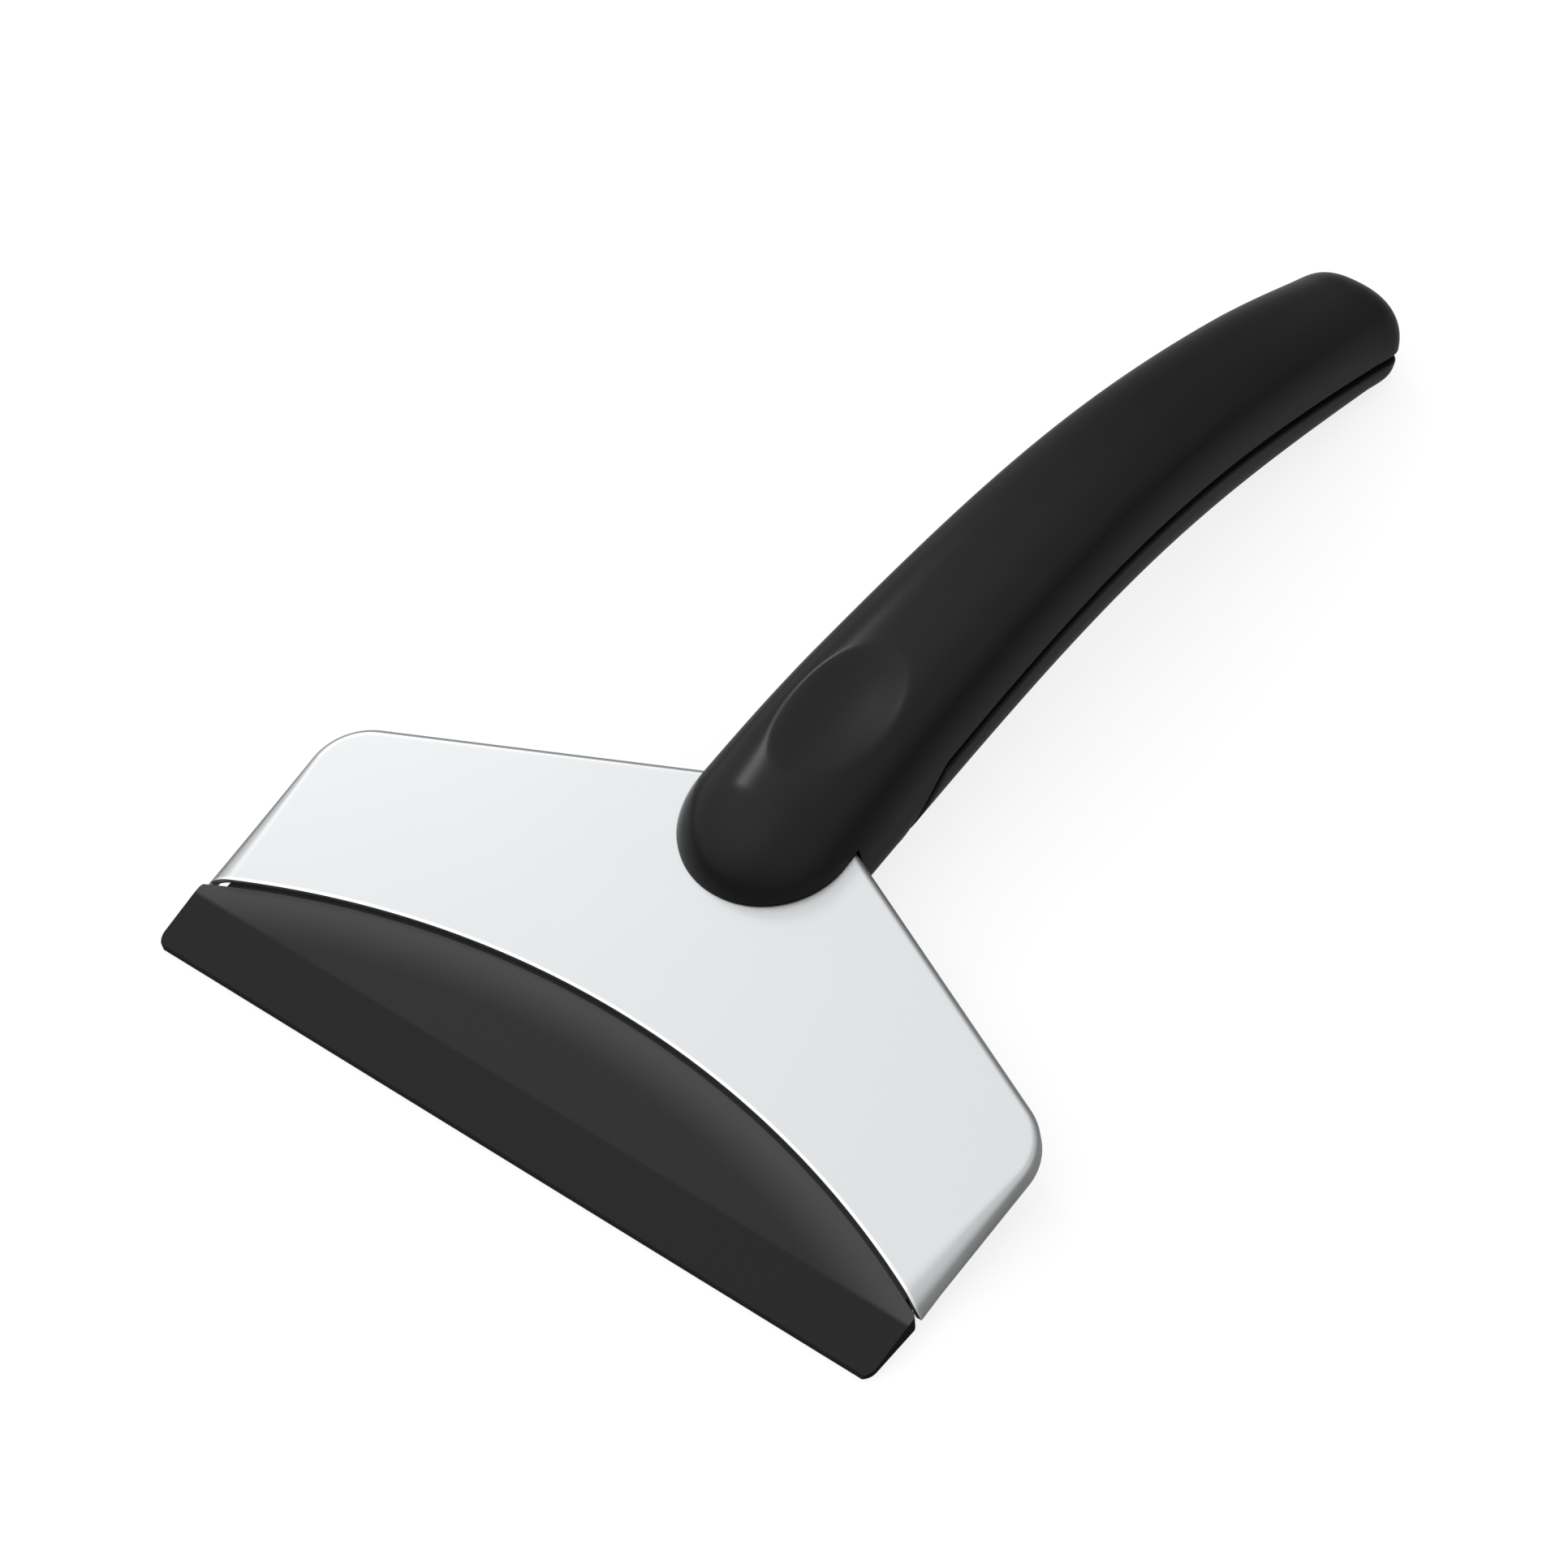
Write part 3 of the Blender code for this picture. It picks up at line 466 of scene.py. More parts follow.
def make_steel_cover():
    """Sheet bent down along its rim, with its thickness below the top face."""
    shape = bmesh.new()
    rows = [rim_row(station) for station in rim_stations()]
    right = add_rows(shape, rows)
    left = add_rows(shape, [[(-x, y, z) for x, y, z in row] for row in rows])
    edge = arch_points(rows[0][0][0], steps=EDGE_STEPS)[-2:0:-1]
    tab = [(TAB_HALF_WIDTH, TAB_REACH), (-TAB_HALF_WIDTH, TAB_REACH)]
    front, back = ([shape.verts.new((x, y, 0)) for x, y in line] for line in (edge, tab))
    shape.faces.new(front + [row[0] for row in right] + back + [row[0] for row in reversed(left)])
    mesh = mesh_of("steel_cover", shape)
    if max(mesh.polygons, key=lambda face: face.area).normal.z < 0:
        mesh.flip_normals()
    mesh.transform(HEAD_PLACE)
    cover = piece_of("steel_cover_fine", mesh)
    sheet = cover.modifiers.new("sheet", "SOLIDIFY")
    sheet.thickness = STEEL_THICKNESS
    sheet.offset = -1
    sheet.use_even_offset = True
    bake(cover)
    low, high = -THROUGH_REACH, THROUGH_REACH
    holes = [rod(HOLE_DIAMETER, low, high, place) for place in neck_screw_places()]
    combine(cover, holes, "DIFFERENCE", SHARP_ANGLE)
    round_edges(cover, CUT_EDGE_ROUNDING)
    return cover


# ---- scraper blade


def blade_outline(half_width):
    """Plan of the blade: rounded front corners, shoulders along the steel's arc, arched back."""
    right = []
    for sine, cosine in quarter_turn(BLADE_ROUND_STEPS):
        x = half_width - BLADE_CORNER_RADIUS * (1 - sine)
        right.append((x, FRONT_STOCK + BLADE_CORNER_RADIUS * (1 - cosine)))
    for sine, cosine in quarter_turn(BLADE_ROUND_STEPS):
        x = half_width - BLADE_SHOULDER_RADIUS * (1 - cosine)
        right.append((x, arch_reach(x) - GAP - BLADE_SHOULDER_RADIUS * (1 - sine)))
    for step in range(1, BLADE_LEDGE_STEPS + 1):
        x = half_width - BLADE_SHOULDER_RADIUS
        x += (TONGUE_HALF_WIDTH - x) * step / BLADE_LEDGE_STEPS
        right.append((x, arch_reach(x) - GAP))
    return right + arch_points(TONGUE_HALF_WIDTH, TONGUE_LENGTH) + mirrored(right)


def make_blade():
    """Wedge cut from stock by its bevel, its underside, the floor and the upright front face."""
    top_outline = blade_outline(BLADE_TOP_HALF_WIDTH)
    sole_outline = blade_outline(BLADE_SOLE_HALF_WIDTH)
    shape = prism(sole_outline, top_outline, UNDERSIDE - SOLE_STOCK, DECK_TOP)
    level = math.cos(HEAD_TILT)
    edge_face_top = (EDGE_FACE_HEIGHT - PLATE_RISE / level) * level ** 2
    front_reach = edge_face_top * math.tan(HEAD_TILT)
    bevel = Vector((0, CREASE_REACH - front_reach, DECK_TOP - edge_face_top)).normalized()
    slice_off(shape, Vector((0, front_reach, edge_face_top)), Vector((0, -bevel.z, bevel.y)))
    slice_off(shape, Vector((0, 0, UNDERSIDE)), Vector((0, 0, -1)))
    to_head = HEAD_PLACE.inverted()
    for outward in ((0, 0, -1), (0, -1, 0)):
        slice_off(shape, to_head @ Vector((0, EDGE_Y, 0)), to_head.to_3x3() @ Vector(outward))
    mesh = mesh_of("scraper_blade", shape)
    mesh.transform(HEAD_PLACE)
    blade = piece_of("scraper_blade_fine", mesh, BLADE_CREASE_ANGLE)
    lap = arch_points(TONGUE_HALF_WIDTH, TONGUE_LENGTH + LAP_DEPTH)[::-1]
    lap += [(TONGUE_HALF_WIDTH, CREASE_REACH), (-TONGUE_HALF_WIDTH, CREASE_REACH)]
    tongue = mesh_of("tongue", prism(lap, lap, DECK_TOP - LAP_THICKNESS, DECK_TOP))
    tongue.transform(HEAD_PLACE)
    combine(blade, [tongue], "UNION", BLADE_CREASE_ANGLE)
    holes = [rod(HOLE_DIAMETER, -THROUGH_REACH, 0, place) for place in blade_screw_places()]
    combine(blade, holes + [shadow_groove()], "DIFFERENCE", BLADE_CREASE_ANGLE)
    round_edges(blade, BLADE_EDGE_ROUNDING, 3, BLADE_CREASE_ANGLE)
    return blade


def shadow_groove():
    """Narrow groove in the blade's face along the steel's cut edge."""
    front = arch_points(HALF_WIDTH, -SHADOW_GROOVE_WIDTH)[::-1]
    outline = front + arch_points(HALF_WIDTH, STEEL_THICKNESS)
    mesh = mesh_of("shadow_groove", prism(outline, outline, DECK_TOP - SHADOW_GROOVE_DEPTH, 0))
    mesh.transform(HEAD_PLACE)
    return mesh


def blade_screw_places():
    spots = [(x, arch_reach(x, BLADE_SCREW_BACK), 0) for x in BLADE_SCREW_PLACES]
    return [HEAD_PLACE @ Matrix.Translation(spot) for spot in spots]


def slice_off(shape, place, outward):
    """Cut away what lies outside a plane, and close the cut."""
    parts = list(shape.verts) + list(shape.edges) + list(shape.faces)
    found = bmesh.ops.bisect_plane(
        shape, geom=parts, dist=MERGE_GAP / 2, plane_co=place, plane_no=outward, clear_outer=True
    )
    edges = [item for item in found["geom_cut"] if isinstance(item, bmesh.types.BMEdge)]
    if edges:
        bmesh.ops.contextual_create(shape, geom=edges)


# ---- handle shells


def through(values, share):
    """A parabola through three values at shares 0, a half and 1."""
    start, middle, end = values
    return (
        start * (1 - share) * (1 - 2 * share)
        + middle * 4 * share * (1 - share)
        + end * share * (2 * share - 1)
    )


def cap_share(run, length, power):
    """Share of the full size at a run into a rounded end."""
    left = clamped(1 - run / length, 0, 1)
    return (1 - left ** power) ** (1 / power)


def heading(angle):
    return np.array((math.cos(angle), math.sin(angle)))


class Spine:
    """The handle's parting line, a curve in Y and Z, with the handle's sizes along it."""

    def __init__(self):
        start = np.array(SPINE_START)
        end = np.array(SPINE_END)
        lead = heading(SPINE_START_SLOPE) * SPINE_START_PULL
        trail = heading(SPINE_END_SLOPE) * SPINE_END_PULL
        t = np.linspace(0, 1, SPINE_POINTS)[:, None]
        r = 1 - t
        self.points = (
            start * r ** 3 + 3 * (start + lead) * r * r * t
            + 3 * (end - trail) * r * t * t + end * t ** 3
        )
        steps = np.linalg.norm(np.diff(self.points, axis=0), axis=1)
        self.runs = np.concatenate(([0], np.cumsum(steps)))
        self.length = self.runs[-1]

    def place(self, run):
        return np.array([np.interp(run, self.runs, self.points[:, k]) for k in (0, 1)])

    def at(self, run):
        """Place of the line at a run, and its direction there."""
        run = clamped(run, 0, self.length)
        ahead = min(run + DIRECTION_REACH, self.length)
        behind = max(ahead - 2 * DIRECTION_REACH, 0)
        step = self.place(ahead) - self.place(behind)
        return self.place(run), step / np.linalg.norm(step)

    def sizes(self, run, inset):
        """Half width, crown height and belly depth at a run, of the skin or of a wall within."""
        body = (run - DOME_LENGTH) / (self.length - DOME_LENGTH - END_CAP_LENGTH)
        share = clamped(body, 0, 1)
        dome = cap_share(run - inset, DOME_LENGTH - inset, DOME_POWER)
        left = self.length - inset - run
        corner = dome * cap_share(left, END_CORNER_LENGTH - inset, END_CAP_POWER)
        cap = dome * cap_share(left, END_CAP_LENGTH - inset, END_CAP_POWER)
        half_width = (through(HALF_WIDTHS, share) - inset) * corner
        crown = (through(CROWN_HEIGHTS, share) - inset) * cap
        belly = (through(BELLY_DEPTHS, share) - inset) * cap
        return half_width, crown, belly


SPINE = Spine()

TURN = np.linspace(-math.pi / 2, math.pi / 2, TURN_POINTS)
TURN_SINE = np.sin(TURN)
TURN_COSINE = np.clip(np.cos(TURN), 0, 1)
LOWER = TURN < 0


def eased(share):
    share = clamped(share, 0, 1)
    return share * share * (3 - 2 * share)


def section_line(run, half_width, crown, belly):
    """Right half of a section, from the belly's middle to the top: across, up, length so far."""
    roundness = DOME_ROUNDNESS + (CROWN_ROUNDNESS - DOME_ROUNDNESS) * eased(run / DOME_BLEND_RUN)
    from_end = eased((SPINE.length - run) / END_BLEND_RUN)
    roundness = END_ROUNDNESS + (roundness - END_ROUNDNESS) * from_end
    crown_power = 2 / roundness
    power = np.where(LOWER, 2 / BELLY_ROUNDNESS, crown_power)
    across = TURN_COSINE ** power * half_width
    up = np.abs(TURN_SINE) ** power * np.where(LOWER, -belly, crown)
    lengths = np.concatenate(([0], np.cumsum(np.hypot(np.diff(across), np.diff(up)))))
    return across, up, lengths


def half_section(run, sizes, stop, upper, count):
    """Evenly spaced points from the top, or from the middle of the belly, as far as a height."""
    across, up, lengths = section_line(run, *sizes)
    spots = np.linspace(0, lengths[-1], count)
    limit = np.interp(stop, up, lengths)
    if upper:
        spots = np.maximum(spots, limit)
    else:
        spots = np.minimum(spots, limit)[::-1]
    return list(zip(np.interp(spots, lengths, across), np.interp(spots, lengths, up)))


def joint_height(run):
    """Height of the joint between the shells in a section, down to the belly's foot in front."""
    if run >= PARTING_TURN_RUN:
        return 0.0
    corner, _ = SPINE.at(PARTING_TURN_RUN)
    place, direction = SPINE.at(run)
    normal = np.array((-direction[1], direction[0]))
    slope = heading(PARTING_TURN_SLOPE)
    across = np.array((-slope[1], slope[0]))
    return float((corner - place) @ across / (normal @ across))


def joint_foot(below):
    """Run where the joint, or a line at a height below it, comes out at the middle of the belly."""
    low, high = 0.0, PARTING_TURN_RUN
    for _ in range(FOOT_HALVINGS):
        middle = (low + high) / 2
        if joint_height(middle) - below < -SPINE.sizes(middle, 0)[2]:
            low = middle
        else:
            high = middle
    return high


FOOT_RUN = joint_foot(0)
LOWER_SKIN_RUN = joint_foot(SEAM_HALF_GAP + SEAM_ROUNDING)


def station_runs():
    """Runs of the sections: close in the two caps and round the thumb recess."""
    length = SPINE.length
    runs = [DOME_LENGTH * (1 - cosine) for _, cosine in quarter_turn(DOME_STATIONS)]
    runs += list(np.arange(DOME_LENGTH + FINE_SPACING, FINE_END_RUN, FINE_SPACING))
    runs += list(np.linspace(BODY_START_RUN, length - END_CAP_LENGTH, BODY_STATIONS))
    end_cap = quarter_turn(END_CAP_STATIONS)[1:]
    runs += [length - END_CAP_LENGTH * (1 - sine) for sine, _ in end_cap]
    feet = [FOOT_RUN, LOWER_SKIN_RUN]
    runs = [run for run in runs if all(abs(run - foot) > FOOT_CLEARANCE for foot in feet)]
    return sorted(runs + feet)


def recess_sink(across, run):
    """Depth of the thumb recess at a point of the crown: an oval scoop, steeper at its far end."""
    along = (run - RECESS_RUN) / RECESS_HALF_LENGTH
    side = across / RECESS_HALF_WIDTH
    lean = 1 + RECESS_LEAN * clamped(along, -1, 1)
    scoop = RECESS_DEPTH * (1 - along ** 2 - side ** 2) * lean
    return (scoop + math.sqrt(scoop ** 2 + RECESS_RIM_SOFTNESS ** 2)) / 2


def section_points(run, points):
    """Place points of a section in the model."""
    place, direction = SPINE.at(run)
    placed = []
    for across, up in points:
        y = place[0] - direction[1] * up
        z = place[1] + direction[0] * up
        placed.append((across, EDGE_Y + y, z))
    return placed


def shell_row(run, upper):
    """Closed section of one shell: outer skin, rebated lip at the joint, inner skin."""
    outer_sizes = SPINE.sizes(run, 0)
    inner_run = clamped(run, SHELL_WALL, SPINE.length - SHELL_WALL)
    inner_sizes = SPINE.sizes(inner_run, SHELL_WALL)
    _, crown, belly = outer_sizes
    joint = max(joint_height(run), -belly)
    sign = 1 if upper else -1
    edge = clamped(joint + sign * SEAM_HALF_GAP, -belly, crown)
    contact = clamped(joint + sign * SEAM_CONTACT_GAP, -belly, crown)
    skin_stop = joint + sign * (SEAM_HALF_GAP + SEAM_ROUNDING)
    whole = upper and run <= FOOT_RUN
    if whole:
        contact = skin_stop = -belly
    skin = half_section(run, outer_sizes, skin_stop, upper, SKIN_POINTS)
    inner = half_section(inner_run, inner_sizes, contact, upper, INNER_POINTS)
    if upper:
        skin, inner = (
            [(x, y - recess_sink(x, run) if y > 0 else y) for x, y in line]
            for line in (skin, inner)
        )
    else:
        inner = [(x, min(y, contact)) for x, y in inner]
    first = skin[0]
    lip = []
    for sine, cosine in quarter_turn(LIP_STEPS)[1:]:
        back = SEAM_ROUNDING * (1 - cosine)
        lip.append((max(first[0] - back, 0), first[1] + (edge - first[1]) * sine))
    foot = max(lip[-1][0] - SEAM_DEPTH, min(lip[-1][0], inner[0][0]))
    lip += [(foot, edge), (foot, contact)]
    if whole:
        lip = [first] * len(lip)
    skin_ring = skin + mirrored(skin[:-1])
    left_lip = [(-x, y) for x, y in lip]
    inner_ring = [(-x, y) for x, y in inner] + list(reversed(inner[:-1]))
    placed = section_points(run, skin_ring + left_lip)
    placed += section_points(inner_run, inner_ring)
    placed += section_points(run, list(reversed(lip)))
    placed.append(placed[0])
    in_groove = [0.0] * len(lip) if whole else LIP_SHADE_MARKS
    marks = [0.0] * len(skin_ring) + in_groove + [0.0] * len(inner_ring) + in_groove[::-1] + [0.0]
    return placed, marks, (len(skin_ring), len(left_lip), len(inner_ring))


def make_shell(name, upper):
    """One shell from its sections. At the neck the upper one is whole, and has no lip."""
    runs = station_runs()
    if not upper:
        runs = [run for run in runs if run >= LOWER_SKIN_RUN]
    rows = []
    marks = []
    for run in runs:
        row, row_marks, counts = shell_row(run, upper)
        rows.append(row)
        marks.append(row_marks)
    outer, lip, inner = counts
    lip_columns = set(range(outer - 1, outer + lip))
    lip_columns |= set(range(outer + lip + inner - 1, len(rows[0]) - 1))

    def keep(i, j):
        return not (upper and runs[i + 1] <= FOOT_RUN and j in lip_columns)

    shape = bmesh.new()
    # Each point keeps its share of the groove's painted shade
    groove_shade_mask = shape.verts.layers.float.new("groove_shade_mask")
    for verts, row_marks in zip(add_rows(shape, rows, keep), marks):
        for vert, mark in zip(verts, row_marks):
            vert[groove_shade_mask] = mark
    return piece_of(name, mesh_of(name, shape), MOULDED_SHARP_ANGLE)


def spine_place(run):
    """Frame on the parting line: its Y runs along the line and its Z away from the belly."""
    place, direction = SPINE.at(run)
    turn = Matrix.Rotation(math.atan2(direction[1], direction[0]), 4, "X")
    return Matrix.Translation((0, EDGE_Y + place[0], place[1])) @ turn


def wall_heights(place):
    """Heights on a screw's axis that lie in the middle of the belly's wall and of the crown's."""
    inside = []
    for step in range(-WALL_STEPS, WALL_STEPS + 1):
        height = THROUGH_REACH * step / WALL_STEPS
        spot = place @ Vector((0, 0, height))
        spread = SPINE.points - np.array((spot.y - EDGE_Y, spot.z))
        run = SPINE.runs[int(np.argmin((spread ** 2).sum(axis=1)))]
        line, direction = SPINE.at(run)
        up = (spot.z - line[1]) * direction[0] - (spot.y - EDGE_Y - line[0]) * direction[1]
        _, crown, belly = SPINE.sizes(run, SHELL_WALL / 2)
        if -belly < up < crown - recess_sink(0, run):
            inside.append(height)
    return inside[0], inside[-1]


def handle_screw_places():
    rear = SPINE.length - HANDLE_SCREW_REAR_INSET
    runs = (HANDLE_SCREW_FRONT, (HANDLE_SCREW_FRONT + rear) / 2, rear)
    return [spine_place(run) for run in runs]


def neck_screw_places():
    return [HEAD_PLACE @ Matrix.Translation((0, reach, 0)) for reach in NECK_SCREW_REACHES]


def head_slot():
    """Room in the neck for the steel's tab and shoulders and for the backing plate."""
    clear = GAP * math.hypot(1, SHOULDER_SLOPE)
    tab = TAB_HALF_WIDTH + GAP
    right = [
        (HALF_WIDTH, ARC_REACH),
        (HALF_WIDTH, CORNER_REACH + clear),
        (tab, APEX_REACH + clear - SHOULDER_SLOPE * tab),
        (tab, TAB_REACH + GAP),
    ]
    outline = right + mirrored(right)
    mesh = mesh_of("head_slot", prism(outline, outline, UNDERSIDE - GAP, GAP))
    mesh.transform(HEAD_PLACE)
    return mesh


def make_upper_shell():
    shell = make_shell("handle_upper_shell_fine", True)
    posts = []
    holes = []
    for place in neck_screw_places():
        top = NECK_SEAT + SHELL_SCREW_LENGTH + 2 * GAP
        posts.append(rod(SLEEVE_DIAMETER, wall_heights(place)[0], top + POST_CAP, place))
        holes.append(stepped_hole(NECK_SEAT, top, place))
    for place in handle_screw_places():
        low = SEAT_THICKNESS + GAP - SEAT_DEPTH
        posts.append(rod(POST_DIAMETER, low, wall_heights(place)[1], place))
        top = SHELL_SCREW_LENGTH + 2 * GAP - SEAT_DEPTH
        holes.append(rod(HOLE_DIAMETER, -SEAT_DEPTH, top, place))
    combine(shell, posts, "UNION")
    combine(shell, [head_slot()], "DIFFERENCE")
    combine(shell, holes, "DIFFERENCE")
    return shell


def make_lower_shell():
    shell = make_shell("handle_lower_shell_fine", False)
    sleeves = []
    holes = []
    for place in handle_screw_places():
        foot = wall_heights(place)[0]
        sleeves.append(rod(SLEEVE_DIAMETER, foot, SEAT_THICKNESS - SEAT_DEPTH, place))
        holes.append(stepped_hole(-SEAT_DEPTH, SEAT_THICKNESS, place))
    combine(shell, sleeves, "UNION")
    combine(shell, holes, "DIFFERENCE")
    return shell


# ---- backing plate and screws


def make_backing_plate():
    """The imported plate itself, with its moulded edges rounded."""
    shape = bmesh.new()
    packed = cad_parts["backing_plate"]
    shape.from_mesh(packed.data)
    shape.transform(packed.matrix_world)
    bmesh.ops.remove_doubles(shape, verts=shape.verts, dist=PACKED_MERGE_GAP)
    bmesh.ops.dissolve_limit(shape, angle_limit=FLAT_ANGLE, verts=shape.verts, edges=shape.edges)
    mesh = plain_mesh("backing_plate", shape)
    mesh.materials.clear()
    plate = piece_of("backing_plate_fine", mesh)
    round_edges(plate, BACKING_EDGE_ROUNDING, angle=MOULDED_SHARP_ANGLE)
    return plate


def pan_head_screw_tree():
    """Geometry nodes of a screw: its seat is at the origin, its head below, its tip along +Z."""
    tree = bpy.data.node_groups.new("pan_head_screw", "GeometryNodeTree")
    for name in SCREW_SIZES:
        tree.interface.new_socket(name, in_out="INPUT", socket_type="NodeSocketFloat")
    tree.interface.new_socket("Plating", in_out="INPUT", socket_type="NodeSocketMaterial")
    tree.interface.new_socket("Screw", in_out="OUTPUT", socket_type="NodeSocketGeometry")
    given = tree.nodes.new("NodeGroupInput").outputs
    sizes = {name: given[name] for name in SCREW_SIZES}
    for result, operation, first, second in SCREW_SUMS:
        sizes[result] = add_node(tree, "ShaderNodeMath", {
            0: sizes[first], 1: sizes.get(second, second)}, operation=operation)

    disc = add_node(tree, "GeometryNodeMeshCylinder", {
        "Vertices": HEAD_SIDES, "Radius": sizes["Head Radius"], "Depth": sizes["Head Height"]})
    dome = add_node(tree, "GeometryNodeMeshUVSphere", {
        "Segments": HEAD_SIDES, "Rings": CROWN_RINGS, "Radius": sizes["Crown Radius"]})
    core = add_node(tree, "GeometryNodeMeshCylinder", {
        "Vertices": CORE_SIDES, "Radius": sizes["Core Radius"], "Depth": sizes["Straight Length"]})
    tip = add_node(tree, "GeometryNodeMeshCone", {
        "Vertices": CORE_SIDES, "Radius Top": TIP_RADIUS, "Radius Bottom": sizes["Core Radius"],
        "Depth": sizes["Tip Length"]})
    helix = add_node(tree, "GeometryNodeCurveSpiral", {
        "Resolution": THREAD_TURN_STEPS, "Rotations": sizes["Thread Turns"],
        "Start Radius": sizes["Core Radius"], "End Radius": sizes["Core Radius"],
        "Height": sizes["Thread Length"], "Reverse": False})
    ridge = add_node(tree, "GeometryNodeCurvePrimitiveCircle", {
        "Resolution": THREAD_SIDES, "Radius": sizes["Thread Depth"]})
    thread = add_node(tree, "GeometryNodeCurveToMesh", {
        "Curve": helix, "Profile Curve": ridge, "Fill Caps": True})
    solids = [
        (disc, "Disc Height"), (dome, "Crown Centre"), (core, "Core Middle"),
        (tip, "Straight Length"), (thread, "Thread Pitch"),
    ]
    for wide, long in (("Cross Width", "Cross Length"), ("Cross Length", "Cross Width")):
        size = add_node(tree, "ShaderNodeCombineXYZ", {
            "X": sizes[wide], "Y": sizes[long], "Z": sizes["Cross Cut"]})
        bar = add_node(tree, "GeometryNodeMeshCube", {"Size": size})
        solids.append((bar, "Head Bottom"))
    placed = []
    for solid, height in solids:
        shift = add_node(tree, "ShaderNodeCombineXYZ", {"Z": sizes[height]})
        placed.append(add_node(tree, "GeometryNodeTransform", {
            "Geometry": solid, "Translation": shift}))
    disc, dome, core, tip, thread, *bars = placed

    head = add_node(tree, "GeometryNodeMeshBoolean", {
        "Mesh 2": [disc, dome]}, operation="INTERSECT", solver="EXACT")
    for bar in bars:
        head = add_node(tree, "GeometryNodeMeshBoolean", {
            "Mesh 1": head, "Mesh 2": bar}, operation="DIFFERENCE", solver="EXACT")
    whole = add_node(tree, "GeometryNodeJoinGeometry", {"Geometry": [head, core, tip, thread]})
    real = add_node(tree, "GeometryNodeRealizeInstances", {"Geometry": whole})
    plated = add_node(tree, "GeometryNodeSetMaterial", {
        "Geometry": real, "Material": given["Plating"]})
    add_node(tree, "NodeGroupOutput", {"Screw": plated})
    return tree


def make_screw(name, tree, length, place):
    screw = add_object(name, bpy.data.meshes.new(name))
    step = screw.modifiers.new("screw", "NODES")
    step.node_group = tree
    wanted = {**SCREW_SIZES, "Length": length, "Plating": SCREW_PLATING}
    for item in tree.interface.items_tree:
        if item.in_out == "INPUT":
            step[item.identifier] = wanted[item.name]
    bake(screw)
    screw.data.transform(place)
    smooth(screw.data, SHARP_ANGLE)
    return screw


def make_screws():
    """Nine screws, each seated in the plastic that it holds."""
    tree = pan_head_screw_tree()
    sets = (
        ("blade_screw", "1234", blade_screw_places(), BLADE_SCREW_LENGTH, UNDERSIDE),
        ("neck_screw", ("front", "rear"), neck_screw_places(), SHELL_SCREW_LENGTH, NECK_SEAT),
        ("handle_screw", ("front", "middle", "rear"), handle_screw_places(),
         SHELL_SCREW_LENGTH, -SEAT_DEPTH),
    )
    screws = {}
    for kind, labels, places, length, seat in sets:
        for label, place in zip(labels, places):
            node = f"{kind}_{label}"
            place = place @ Matrix.Translation((0, 0, seat))
            screws[node] = make_screw(f"{node}_fine", tree, length, place)
    return screws


# ---- materials


def colour(code):
    """sRGB hex to linear."""
    values = [int(code[k:k + 2], 16) / 255 for k in (1, 3, 5)]
    linear = [v / 12.92 if v <= 0.04045 else ((v + 0.055) / 1.055) ** 2.4 for v in values]
    return (*linear, 1.0)


def feed(tree, node, inputs):
    """Set inputs to values or link them. A node stands for its first output, a list for several."""
    for key, given in inputs.items():
        for item in given if isinstance(given, list) else [given]:
            source = item.outputs[0] if isinstance(item, bpy.types.Node) else item
            if isinstance(source, bpy.types.NodeSocket):
                tree.links.new(source, node.inputs[key])
            else:
                node.inputs[key].default_value = source


def add_node(tree, kind, inputs=None, **settings):
    """One node with its inputs and its settings."""
    node = tree.nodes.new(kind)
    for key, value in settings.items():
        setattr(node, key, value)
    feed(tree, node, inputs or {})
    return node


def new_material(name):
    material = bpy.data.materials.new(name)
    material.use_nodes = True
    return material, material.node_tree


def finish_of(name, base, roughness):
    """A new material, its tree, its shader with two values, and the object's coordinates."""
    material, tree = new_material(name)
    shader = tree.nodes["Principled BSDF"]
    feed(tree, shader, {"Base Color": colour(base), "Roughness": roughness})
    return material, tree, shader, add_node(tree, "ShaderNodeTexCoord").outputs["Object"]


def head_plan(tree, here):
    """Place on the head's plane from the centre of the front arc, and the distance from there."""
    plan = add_node(tree, "ShaderNodeMapping", {
        "Vector": here, "Location": HEAD_PLACE @ Vector((0, ARC_CENTRE, 0)),
        "Rotation": (HEAD_TILT, 0, 0)}, vector_type="TEXTURE")
    flat = add_node(tree, "ShaderNodeVectorMath", {
        0: plan, 1: (1, 1, 0)}, operation="MULTIPLY")
    reach = add_node(tree, "ShaderNodeVectorMath", {0: flat}, operation="LENGTH")
    return plan, reach.outputs["Value"]


